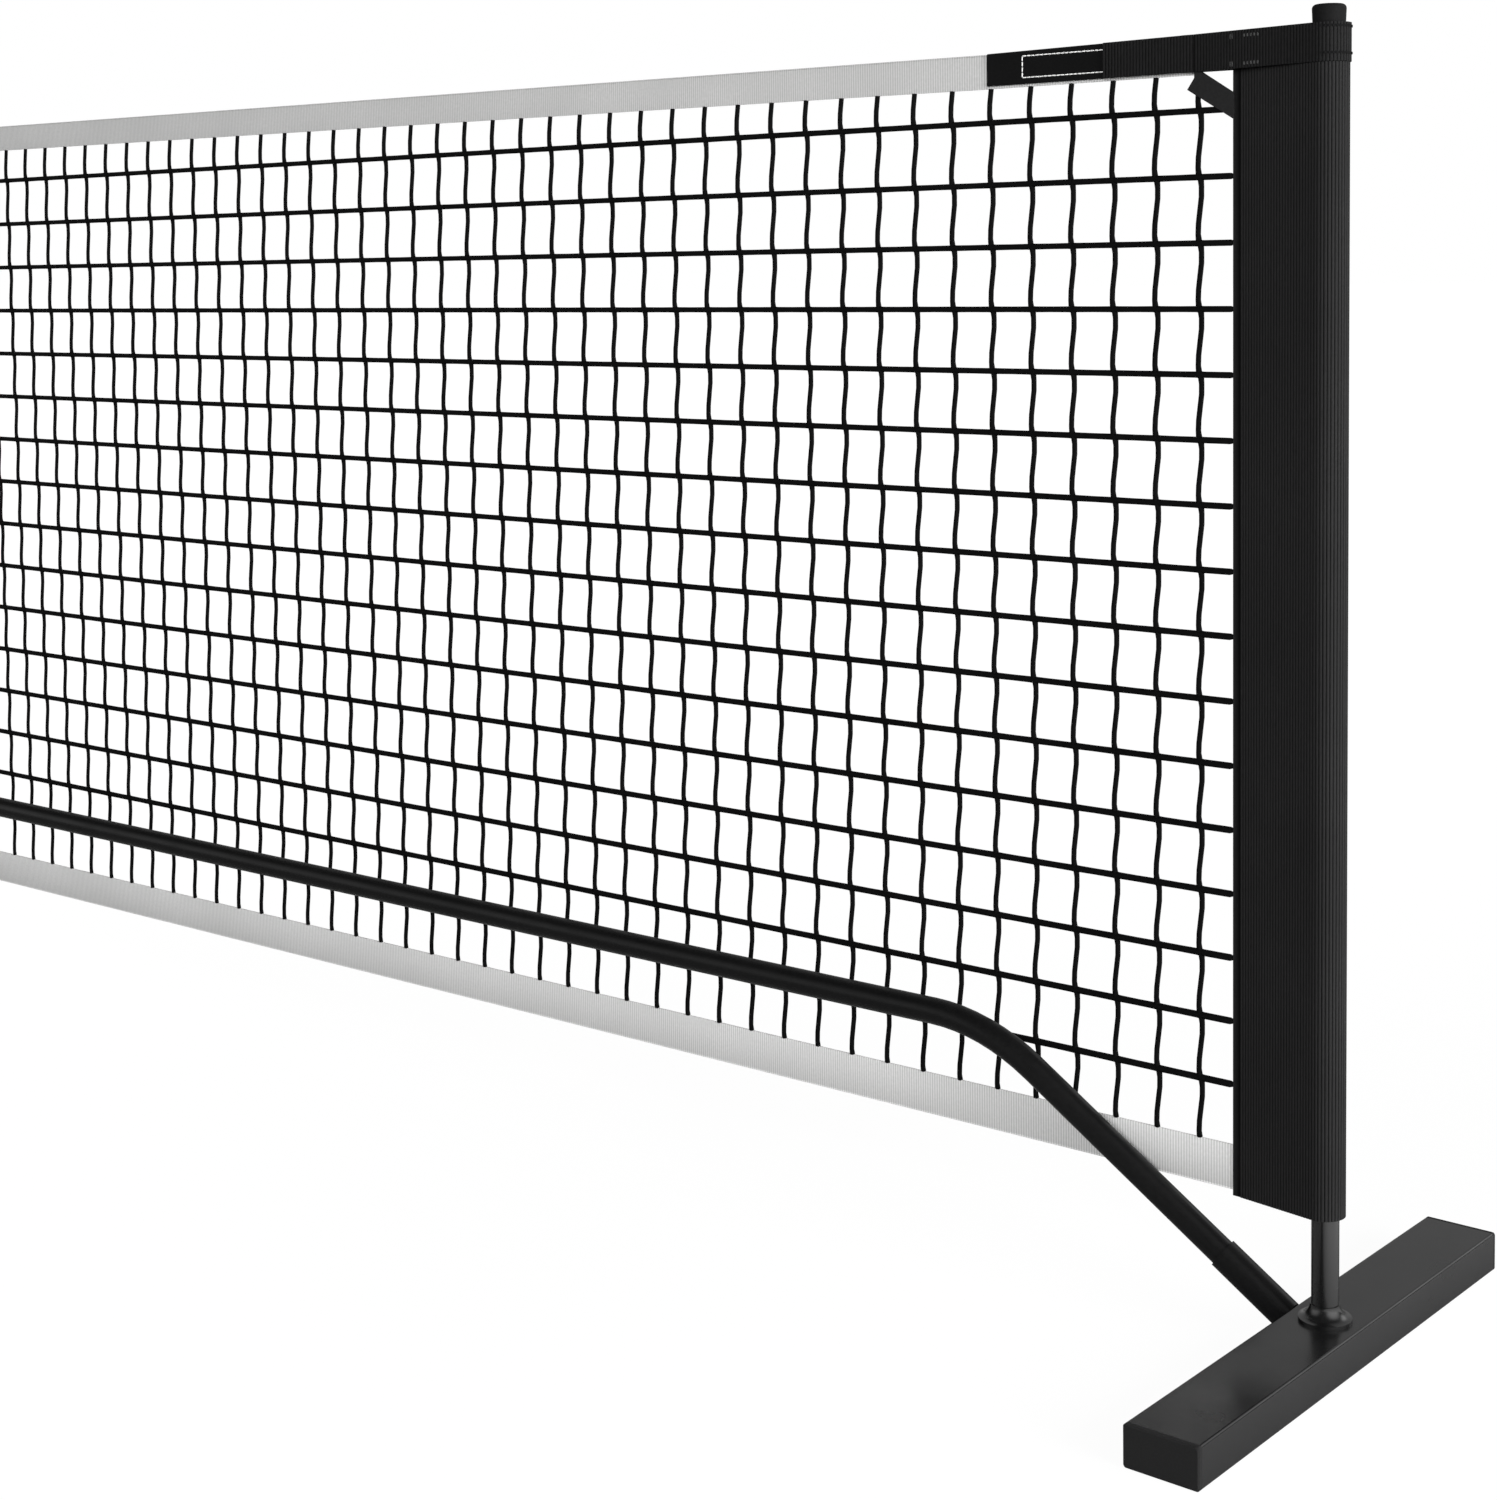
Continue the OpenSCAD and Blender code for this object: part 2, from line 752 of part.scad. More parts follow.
// Smooth patch folded over the end of the top tape, level with the strap below
module strap_patch() {
  half = tape_t / 2 + patch_t;
  fold = net_height + touch_gap - strap_bottom;
  color(black_fabric)
    translate([0, 0, strap_bottom])
      difference() {
        band(patch_reach, strap_inset + touch_gap, net_back - half, 2 * half);
        translate([-patch_reach - eps, tape_front - touch_gap, -eps])
          cube([patch_reach, tape_t + 2 * touch_gap, fold + eps]);
      }
}

// Free end of the strap, which lies on the patch and turns about its rounded end
module strap_flap() {
  y = net_back - tape_t / 2 - patch_t - air_gap - web_t / 2;
  pivot = strap_inset + air_gap + web_t / 2;
  color(webbing)
    translate([0, 0, strap_bottom]) {
      translate([-pivot, y, 0]) cylinder(d = web_t, h = band_height(pivot));
      band(strap_reach, pivot, y - web_t / 2, web_t);
    }
}

// Slanted tab from the sleeve seam up to the strap, in front of the net
module corner_tab() {
  edge = strap_inset - seam_inset - 2 * touch_gap;
  slope = 0.6;
  low = tab_w * norm([1, slope]);
  rise = slope * (edge - 6);
  color(webbing)
    translate([-seam_inset - touch_gap, tab_front + tab_t, strap_bottom - touch_gap])
      rotate([90, 0, 0])
        linear_extrude(tab_t)
          polygon([
            [0, -rise - low],
            [0, -rise],
            [6 - edge, 0],
            [-edge, 0],
            [-edge, -4],
            [-edge - 5.5, slope * (edge + 5.5) - rise - low]
          ]);
}

// ---- named pieces ----

module right_foot_bar() { right_side() foot_bar(); }
module left_foot_bar() { left_side() foot_bar(); }
module centre_foot_bar() { foot_bar(); }
module right_foot_caps() { right_side() foot_caps(); }
module left_foot_caps() { left_side() foot_caps(); }
module centre_foot_caps() { foot_caps(); }
module right_base_collar() { right_side() base_collar(); }
module left_base_collar() { left_side() base_collar(); }
module centre_base_collar() { translate([0, bar_y, 0]) base_collar(); }
module right_post_stub() { right_side() post_stub(); }
module left_post_stub() { left_side() post_stub(); }
module right_leg_socket() { right_side() leg_socket(); }
module left_leg_socket() { left_side() leg_socket(); }
module right_bent_bar() { right_side() bent_bar(); }
module left_bent_bar() { left_side() bent_bar(); }
module right_straight_bar() { straight_bar(); }
module left_straight_bar() { mirror([1, 0, 0]) straight_bar(); }
module right_post_tube() { right_side() post_tube(); }
module left_post_tube() { left_side() post_tube(); }
module right_post_cap() { right_side() post_cap(); }
module left_post_cap() { left_side() post_cap(); }
module top_tape() { peaked_tape(post_x - strap_inset - 2 * touch_gap, tape_bottom, tape_height); }
module bottom_tape() { flat_tape(post_x - seam_inset - touch_gap, net_bottom, hem_height); }
module right_sleeve() { right_side() sleeve(); }
module left_sleeve() { left_side() sleeve(); }
module right_top_strap() { right_side() top_strap(); }
module left_top_strap() { left_side() top_strap(); }
module right_strap_patch() { right_side() strap_patch(); }
module left_strap_patch() { left_side() strap_patch(); }
module right_strap_flap() { right_side() strap_flap(); }
module left_strap_flap() { left_side() strap_flap(); }
module right_corner_tab() { right_side() corner_tab(); }
module left_corner_tab() { left_side() corner_tab(); }
module right_leg_button() { right_side() at_leg_button() snap_button(bar_bore, socket_d); }
module left_leg_button() { left_side() at_leg_button() snap_button(bar_bore, socket_d); }
module right_outer_button() { right_side() at_outer_button() snap_button(plug_bore, bar_d); }
module left_outer_button() { left_side() at_outer_button() snap_button(plug_bore, bar_d); }
module right_inner_button() { right_side() at_inner_button() snap_button(plug_bore, bar_d); }
module left_inner_button() { left_side() at_inner_button() snap_button(plug_bore, bar_d); }

right_foot_bar();
right_foot_caps();
right_base_collar();
right_post_stub();
right_leg_socket();
left_foot_bar();
left_foot_caps();
left_base_collar();
left_post_stub();
left_leg_socket();
right_bent_bar();
left_bent_bar();
right_straight_bar();
left_straight_bar();
centre_bar();
centre_tee();
centre_leg();
centre_base_collar();
centre_foot_bar();
centre_foot_caps();
centre_rod();
rod_tip();
height_knob();
right_post_tube();
right_post_cap();
left_post_tube();
left_post_cap();
net_mesh();
top_tape();
bottom_tape();
centre_pocket();
right_sleeve();
right_top_strap();
right_strap_patch();
right_strap_flap();
right_corner_tab();
left_sleeve();
left_top_strap();
left_strap_patch();
left_strap_flap();
left_corner_tab();
right_leg_button();
right_outer_button();
right_inner_button();
left_leg_button();
left_outer_button();
left_inner_button();
button_clips();
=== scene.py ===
"""Dresses the portable court net: netting, tapes, sleeves, straps, stitching and painted steel."""

import logging
import math
from collections.abc import Callable, Iterable, Sequence
from dataclasses import dataclass, field
from enum import Enum

import bpy
from mathutils import Matrix, Vector


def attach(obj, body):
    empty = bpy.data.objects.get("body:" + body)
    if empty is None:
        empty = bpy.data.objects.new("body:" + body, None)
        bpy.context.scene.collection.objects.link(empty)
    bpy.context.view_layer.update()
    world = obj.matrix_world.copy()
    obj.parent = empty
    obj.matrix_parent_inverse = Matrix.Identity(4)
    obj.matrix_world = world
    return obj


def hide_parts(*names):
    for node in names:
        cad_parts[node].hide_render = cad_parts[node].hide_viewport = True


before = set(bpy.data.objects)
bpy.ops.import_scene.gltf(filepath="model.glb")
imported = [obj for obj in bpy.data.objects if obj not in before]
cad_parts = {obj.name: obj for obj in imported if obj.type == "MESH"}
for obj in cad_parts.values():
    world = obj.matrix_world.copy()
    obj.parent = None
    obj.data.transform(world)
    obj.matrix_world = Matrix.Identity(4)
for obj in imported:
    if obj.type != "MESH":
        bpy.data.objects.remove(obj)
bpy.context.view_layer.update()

LOG = logging.getLogger("court_net")
MM = 0.001
POST_X = 3353 * MM
NET_Y = 5 * MM
NET_TOP = 912 * MM
RISE = 17.5 * MM
LEVEL_FROM = 3077 * MM
STRAP_BOTTOM = 888.8 * MM
STRAP_TOP = 914.4 * MM
STRAP_HEIGHT = STRAP_TOP - STRAP_BOTTOM
STRAP_FALL = 1.9 / 173
EDGE_ANGLE = 40.0
CLOTH_ANGLE = 50.0
CORD_ANGLE = 80.0
CORD_SIDES = 6
STITCH_ANGLE = 70.0
WHITE = (1.0, 1.0, 1.0, 1.0)

Piece = bpy.types.Object
Socket = bpy.types.NodeSocket
Point = tuple[float, float, float]
Flat = tuple[float, float]
Inputs = dict[str | int, object]


class Grain(Enum):
    """How the surface of a finish is worked."""

    POWDER = "powder coat with a fine orange peel"
    MOULDED = "moulded plastic with a fine leather grain"
    WEFT = "ribbed fabric with fine threads across the ribs"
    TWIST = "twill, braided cord or sewing thread, with threads on the slant"
    BRUSHED = "drawn steel with fine lines"
    FIBRE = "drawn glass fibre"


class Wiring:
    """Adds nodes to one tree and links them."""

    def __init__(self, tree: bpy.types.NodeTree, space: str) -> None:
        self.tree = tree
        self.place = self.add("TexCoord").outputs[space]

    def feed(self, node: bpy.types.Node, inputs: Inputs) -> None:
        """Links the inputs that are given as sockets, and sets the others to fixed values."""
        for key, value in inputs.items():
            if isinstance(value, Socket):
                self.tree.links.new(value, node.inputs[key])
            else:
                node.inputs[key].default_value = value

    def add(self, kind: str, inputs: Inputs | None = None, **settings: object) -> bpy.types.Node:
        """Adds one node.

        Args:
            kind: The node's type, without the prefix that all share.
            inputs: What goes into the node.
            settings: The node's own properties.

        Returns:
            The new node.
        """
        node = self.tree.nodes.new(f"ShaderNode{kind}")
        for name, value in settings.items():
            setattr(node, name, value)
        self.feed(node, inputs or {})
        return node

    def remap(self, value: Socket, start: float, full: float, low: float = 0.0, high: float = 1.0,
              **settings: object) -> Socket:
        """Maps a value from start and full to low and high, and holds it between them."""
        return self.add("MapRange", {"Value": value, "From Min": start, "From Max": full,
                                     "To Min": low, "To Max": high}, **settings).outputs[0]

    def noise(self, scale: float, detail: float, place: Socket | None = None) -> Socket:
        """A noise in the tree's own space, or in the one that place gives."""
        inputs = {"Scale": scale, "Detail": detail, "Vector": place or self.place}
        return self.add("TexNoise", inputs).outputs["Fac"]


@dataclass(frozen=True)
class Finish:
    """One finish of the net, made of nodes only.

    Both colours are given as one value for red and green and one for blue. The slot is not used.
    """

    name: str
    color: Flat
    faded: Flat
    roughness: float
    grain: Grain
    pitch: float
    depth: float
    slot: str = ""
    metallic: float = 0.0
    specular: float = 0.5
    # The next two paint shade into the grooves of ribbed cloth: how dark it gets, and the pitch of an even wave
    # of it along X, zero where the mesh marks the grooves.
    groove_shade: float = 0.0
    rib: float = 0.0

    def build(self) -> bpy.types.Material:
        """Lays out the nodes of this finish.

        Returns:
            The material, ready for a piece's slots.
        """
        material = bpy.data.materials.new(self.name)
        material.use_nodes = True
        wiring = Wiring(material.node_tree, "Object")
        wiring.feed(material.node_tree.nodes["Principled BSDF"], {
            "Metallic": self.metallic, "Specular IOR Level": self.specular,
            "Base Color": self._tint(wiring), "Roughness": self._gloss(wiring),
            "Normal": self._relief(wiring)})
        return material

    def _tint(self, wiring: Wiring) -> Socket:
        """The colour, varied a little over the piece, broad and fine, with shade painted into the grooves of
        ribbed cloth.
        """
        broad = wiring.noise(9.0, 3.0)
        fine = wiring.noise(0.35 / self.pitch, 2.0)
        both = wiring.add("Math", {0: broad, 1: fine}, operation="MULTIPLY")
        ramp = wiring.add("ValToRGB", {0: both.outputs[0]})
        for stop, at, (grey, blue) in zip(ramp.color_ramp.elements, (0.12, 0.42), (self.color, self.faded)):
            stop.position = at
            stop.color = (grey, grey, blue, 1.0)
        if not self.groove_shade:
            return ramp.outputs[0]
        # Painted shade: the colour is multiplied darker in the grooves than on the ribs.
        groove_shaded = wiring.add("Mix", {"Factor": self.groove_shade, "A": ramp.outputs[0], "B": self._painted_groove_shade(wiring)},
                            data_type="RGBA", blend_type="MULTIPLY")
        return groove_shaded.outputs["Result"]

    def _painted_groove_shade(self, wiring: Wiring) -> Socket:
        """Painted shade, light on the ribs and dark in the grooves: evenly along X, or where the mesh says so.
        """
        if self.rib:
            wave = wiring.add("TexWave", {"Scale": math.pi / 10 / self.rib, "Vector": wiring.place})
            return wave.outputs["Color"]
        sunk = wiring.add("Attribute", attribute_name="groove_shade")
        return wiring.add("Invert", {"Color": sunk.outputs["Color"]}).outputs["Color"]

    def _gloss(self, wiring: Wiring) -> Socket:
        """The roughness, varied as handling and dust do."""
        smudge = wiring.noise(26.0, 4.0)
        return wiring.remap(smudge, 0.3, 0.7, self.roughness - 0.04, self.roughness + 0.06)

    def _relief(self, wiring: Wiring) -> Socket:
        """The grain, raised from the surface."""
        laid = {
            Grain.POWDER: lambda: wiring.noise(0.5 / self.pitch, 2.0),
            Grain.MOULDED: lambda: wiring.noise(0.7 / self.pitch, 4.0),
            Grain.WEFT: lambda: self._bands(wiring, "Z", 0.314),
            Grain.TWIST: lambda: self._bands(wiring, "DIAGONAL", 0.628),
            Grain.BRUSHED: lambda: self._streaks(wiring, (0.04, 1.0, 1.0)),
            Grain.FIBRE: lambda: self._streaks(wiring, (1.0, 1.0, 0.03)),
        }
        bump = wiring.add("Bump", {"Strength": 0.6, "Distance": self.depth, "Height": laid[self.grain]()})
        return bump.outputs[0]

    def _bands(self, wiring: Wiring, way: str, span: float) -> Socket:
        """Threads laid side by side, a pitch apart."""
        inputs = {"Scale": span / self.pitch, "Distortion": 0.8, "Detail": 1.0, "Vector": wiring.place}
        return wiring.add("TexWave", inputs, bands_direction=way).outputs["Fac"]

    def _streaks(self, wiring: Wiring, stretch: Point) -> Socket:
        """Fine lines drawn out along one axis."""
        drawn = wiring.add("Mapping", {"Scale": stretch, "Vector": wiring.place})
        return wiring.noise(1.0 / self.pitch, 3.0, drawn.outputs[0])


class Finishes:
    """Every finish of the net, each built once."""

    BLACK_STEEL = Finish("black_powder_coat", (0.0030, 0.0031), (0.0048, 0.0049), 0.36, Grain.POWDER,
                         1.1 * MM, 0.006 * MM, specular=0.24)
    FOOT_STEEL = Finish("foot_steel", (0.0055, 0.0057), (0.0080, 0.0082), 0.22, Grain.POWDER,
                        1.1 * MM, 0.006 * MM)
    STUB_STEEL = Finish("stub_steel", (0.0030, 0.0031), (0.0045, 0.0046), 0.22, Grain.POWDER,
                        1.1 * MM, 0.006 * MM, specular=1.0)
    BLACK_PLASTIC = Finish("black_moulded_plastic", (0.0062, 0.0063), (0.0085, 0.0087), 0.55, Grain.MOULDED,
                           0.5 * MM, 0.02 * MM, specular=0.07)
    # Light painted onto the ends of the feet: a lighter copy of the black moulded plastic.
    FOOT_PLASTIC = Finish("foot_plastic", (0.0130, 0.0132), (0.0170, 0.0172), 0.55, Grain.MOULDED,
                          0.5 * MM, 0.02 * MM, specular=0.1)
    BRIGHT_STEEL = Finish("drawn_spring_steel", (0.55, 0.56), (0.63, 0.64), 0.28, Grain.BRUSHED,
                          0.4 * MM, 0.02 * MM, metallic=1.0)
    ROD = Finish("black_glass_fibre", (0.010, 0.0104), (0.016, 0.0164), 0.34, Grain.FIBRE,
                 0.3 * MM, 0.03 * MM)
    # The sleeve and the webbing get shade painted into the grooves that their meshes mark, the tapes an even
    # wave of painted shade along X.
    SLEEVE = Finish("black_ribbed_sleeve", (0.0133, 0.0135), (0.0182, 0.0184), 0.60, Grain.WEFT,
                    0.6 * MM, 0.05 * MM, "sleeve_fabric", specular=0.08, groove_shade=1.0)
    WEBBING = Finish("black_webbing", (0.0092, 0.0093), (0.0130, 0.0132), 0.62, Grain.WEFT,
                     0.7 * MM, 0.05 * MM, "webbing", specular=0.07, groove_shade=0.95)
    # Light painted onto the slanted corner tab: a lighter copy of the black webbing.
    TAB = Finish("faded_webbing", (0.0122, 0.0124), (0.0175, 0.0177), 0.62, Grain.WEFT,
                 0.7 * MM, 0.06 * MM, "webbing", specular=0.10)
    PATCH = Finish("smooth_black_patch", (0.0048, 0.0049), (0.0066, 0.0067), 0.62, Grain.TWIST,
                   0.5 * MM, 0.03 * MM, "patch_fabric", specular=0.05)
    TAPE = Finish("pale_ribbed_tape", (0.52, 0.517), (0.59, 0.586), 0.85, Grain.WEFT, 0.8 * MM, 0.04 * MM,
                  "white_tape", specular=0.15, groove_shade=0.30, rib=3249.8 / 1477 * MM)
    HEM = Finish("white_ribbed_tape", (0.72, 0.715), (0.80, 0.795), 0.85, Grain.WEFT, 0.8 * MM, 0.04 * MM,
                 "white_tape", specular=0.15, groove_shade=0.30, rib=3279.6 / 1477 * MM)
    CORD = Finish("black_netting_cord", (0.0022, 0.0023), (0.0036, 0.0037), 0.66, Grain.TWIST,
                  1.6 * MM, 0.10 * MM, "net_cord", specular=0.08)
    WHITE_THREAD = Finish("white_thread", (0.70, 0.69), (0.80, 0.79), 0.6, Grain.TWIST,
                          0.5 * MM, 0.06 * MM, "white_tape", specular=0.3)
    GREY_THREAD = Finish("dark_grey_thread", (0.03, 0.03), (0.055, 0.055), 0.6, Grain.TWIST,
                         0.5 * MM, 0.06 * MM, "webbing", specular=0.3)

    _made: dict[str, bpy.types.Material] = {}

    @classmethod
    def put(cls, piece: Piece, finish: Finish) -> None:
        """Gives a piece one finish all over.

        Args:
            piece: A new piece or a carried-over solid.
            finish: The finish that it gets.
        """
        if finish.name not in cls._made:
            cls._made[finish.name] = finish.build()
        piece.data.materials.clear()
        piece.data.materials.append(cls._made[finish.name])


class Bench:
    """Edit-mode work on one piece at a time, through Blender's own operators."""

    @staticmethod
    def clear() -> None:
        """Leaves edit mode and lets go of everything."""
        if bpy.context.object and bpy.context.object.mode != "OBJECT":
            bpy.ops.object.mode_set(mode="OBJECT")
        bpy.ops.object.select_all(action="DESELECT")

    @classmethod
    def _settle(cls, name: str) -> Piece:
        """Names the new primitive, applies its place and opens it for editing."""
        piece = bpy.context.object
        piece.name = piece.data.name = name
        bpy.ops.object.transform_apply(location=True, rotation=True, scale=True)
        bpy.ops.object.mode_set(mode="EDIT")
        bpy.ops.mesh.select_mode(type="VERT")
        bpy.ops.mesh.select_all(action="SELECT")
        return piece

    @classmethod
    def ring(cls, name: str, sides: int, radius: float, centre: Point,
             turn: Point = (0.0, 0.0, 0.0), filled: bool = True) -> Piece:
        """A ring of vertices, open for editing and all selected.

        Args:
            name: The piece's name.
            sides: How many vertices the ring has.
            radius: Its radius in metres.
            centre: Its centre.
            turn: Its turn, as Euler angles.
            filled: Whether a face closes it.

        Returns:
            The new piece.
        """
        cls.clear()
        bpy.ops.mesh.primitive_circle_add(vertices=sides, radius=radius, location=centre, rotation=turn,
                                          fill_type="NGON" if filled else "NOTHING")
        return cls._settle(name)

    @classmethod
    def draw(cls, name: str, points: Sequence[Point]) -> Piece:
        """Draws a closed line of edges by extruding one vertex from point to point.

        Args:
            name: The piece's name.
            points: The points in order.

        Returns:
            The piece, open for editing, with the whole line selected.
        """
        cls.clear()
        bpy.ops.mesh.primitive_plane_add(size=MM, location=points[0])
        piece = cls._settle(name)
        bpy.ops.mesh.merge(type="CENTER")
        for here, there in zip(points, [*points[1:], points[0]]):
            cls.push(tuple(b - a for a, b in zip(here, there)))
        bpy.ops.mesh.select_all(action="SELECT")
        bpy.ops.mesh.remove_doubles(threshold=1e-6)
        return piece

    @classmethod
    def prism(cls, name: str, points: Sequence[Point], step: Point) -> Piece:
        """Draws a closed outline, fills it and pushes it out to a solid, open for editing."""
        piece = cls.draw(name, points)
        cls.fill()
        cls.push(step)
        return piece

    @staticmethod
    def push(step: Point) -> None:
        """Extrudes what is selected and moves it."""
        bpy.ops.mesh.extrude_region_move(TRANSFORM_OT_translate={"value": step})

    @staticmethod
    def swell(size: Point, centre: Point) -> None:
        """Resizes what is selected about a point."""
        bpy.ops.transform.resize(value=size, center_override=centre)

    @staticmethod
    def fill() -> None:
        """Closes the selected loop with a face."""
        bpy.ops.mesh.edge_face_add()

    @staticmethod
    def trim(point: Point, upward: Point) -> None:
        """Cuts off what lies above a plane, in edit mode, and closes the cut."""
        bpy.ops.mesh.bisect(plane_co=point, plane_no=upward, use_fill=True, clear_outer=True)

    @classmethod
    def pick(cls, piece: Piece, test: Callable[[Vector], bool]) -> None:
        """Selects the vertices of a piece by their place.

        Args:
            piece: The piece, in edit mode.
            test: True for a vertex that is picked.
        """
        bpy.ops.mesh.select_all(action="DESELECT")
        bpy.ops.object.mode_set(mode="OBJECT")
        for vertex in piece.data.vertices:
            vertex.select = test(vertex.co)
        bpy.ops.object.mode_set(mode="EDIT")

    @staticmethod
    def mark(piece: Piece, grooves: Sequence[Flat]) -> None:
        """Writes on a cloth piece, in object mode, which of its vertices lie in its grooves, the mask for the
        shade painted into them.

        Args:
            piece: The piece.
            grooves: The grooves seen from above, as distances from the post's axis.
        """
        sunk = piece.data.attributes.new("groove_shade", "FLOAT", "POINT")
        for vertex, mark in zip(piece.data.vertices, sunk.data):
            x, y = vertex.co.x - POST_X, vertex.co.y
            mark.value = any(math.hypot(x - at, y - deep) < 0.05 * MM for at, deep in grooves)

    @staticmethod
    def _face_out() -> None:
        """Turns all faces outwards and leaves edit mode."""
        bpy.ops.mesh.select_all(action="SELECT")
        bpy.ops.mesh.normals_make_consistent(inside=False)
        bpy.ops.object.mode_set(mode="OBJECT")

    @classmethod
    def close(cls, angle: float = CLOTH_ANGLE) -> None:
        """Turns the open piece's faces outwards, leaves edit mode and shades the piece.

        Args:
            angle: Edges sharper than this, in degrees, stay sharp.
        """
        cls._face_out()
        bpy.ops.object.shade_smooth_by_angle(angle=math.radians(angle))

    @classmethod
    def repeat(cls, piece: Piece, count: int, step: Point, weld: bool = False) -> None:
        """Repeats a piece in a row.

        Args:
            piece: The piece, in object mode.
            count: How many there are in all.
            step: From one to the next.
            weld: Whether neighbours are joined where they meet.
        """
        cls.modify(piece, "ARRAY", use_relative_offset=False, use_constant_offset=True,
                   constant_offset_displace=step, count=count, use_merge_vertices=weld,
                   merge_threshold=0.02 * MM)

    @classmethod
    def bevel(cls, piece: Piece, width: float) -> None:
        """Rounds a piece's sharp edges."""
        cls.modify(piece, "BEVEL", width=width, segments=2, limit_method="ANGLE",
                   angle_limit=math.radians(EDGE_ANGLE))

    @classmethod
    def modify(cls, piece: Piece, kind: str, **settings: object) -> None:
        """Gives a piece one modifier and applies it."""
        modifier = piece.modifiers.new(kind.lower(), kind)
        for name, value in settings.items():
            setattr(modifier, name, value)
        cls.hold(piece)
        bpy.ops.object.modifier_apply(modifier=modifier.name)

    @classmethod
    def hold(cls, *pieces: Piece) -> None:
        """Selects pieces in object mode, with the first of them active."""
        cls.clear()
        for piece in pieces:
            piece.select_set(True)
        bpy.context.view_layer.objects.active = pieces[0]

    @classmethod
    def join(cls, name: str, pieces: Sequence[Piece]) -> Piece:
        """Joins pieces of one finish into one object."""
        cls.hold(*pieces)
        bpy.ops.object.join()
        pieces[0].name = name
        return pieces[0]

    @classmethod
    def mirrored(cls, piece: Piece) -> Piece:
        """A copy of a piece, with its own mesh, at the other end of the net.

        Args:
            piece: The piece at the right end.

        Returns:
            The copy at the left end, named after that side.
        """
        copy = piece.copy()
        copy.data = piece.data.copy()
        copy.name = copy.data.name = piece.name.replace("right_", "left_")
        bpy.context.collection.objects.link(copy)
        cls.hold(copy)
        bpy.ops.transform.resize(value=(-1.0, 1.0, 1.0), center_override=(0.0, 0.0, 0.0))
        bpy.ops.object.transform_apply(location=True, rotation=True, scale=True)
        bpy.ops.object.mode_set(mode="EDIT")
        cls._face_out()
        return copy


def tell(piece: Piece, body: str, finish: Finish, *nodes: str) -> None:
    """Finishes a piece: its finish, body and the solids that it stands for.

    Args:
        piece: The piece, in its place.
        body: The body that it rides on.
        finish: Its finish.
        nodes: The solids that it replaces.
    """
    Finishes.put(piece, finish)
    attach(piece, body)
    if nodes:
        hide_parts(*nodes)
    LOG.info("%s: %d vertices, %s", piece.name, len(piece.data.vertices), finish.name)


def dress_ends(piece: Piece, body: str, finish: Finish, node: str) -> None:
    """Finishes a cloth piece at the right end of the net and its mirrored copy at the left.

    Args:
        piece: The piece at the right end.
        body: The body that it rides on, with {} for the side.
        finish: Its finish.
        node: The solid that it replaces, after the side.
    """
    for side, cloth in (("right", piece), ("left", Bench.mirrored(piece))):
        tell(cloth, body.format(side), finish, f"{side}_{node}")


def stand(name: str, outline: Sequence[Flat], slanted: bool) -> Piece:
    """Stands an outline, seen from above, up to the strap's height.

    Args:
        name: The piece's name.
        outline: The outline, with the post's axis as origin.
        slanted: Whether the top is cut down along the strap's falling edge.

    Returns:
        The piece, in object mode.
    """
    piece = Bench.prism(name, [(POST_X + x, y, STRAP_BOTTOM) for x, y in outline], (0.0, 0.0, STRAP_HEIGHT))
    if slanted:
        bpy.ops.mesh.select_all(action="SELECT")
        Bench.trim((POST_X - 102.9 * MM, 0.0, STRAP_TOP), (-STRAP_FALL, 0.0, 1.0))
    Bench.close()
    return piece


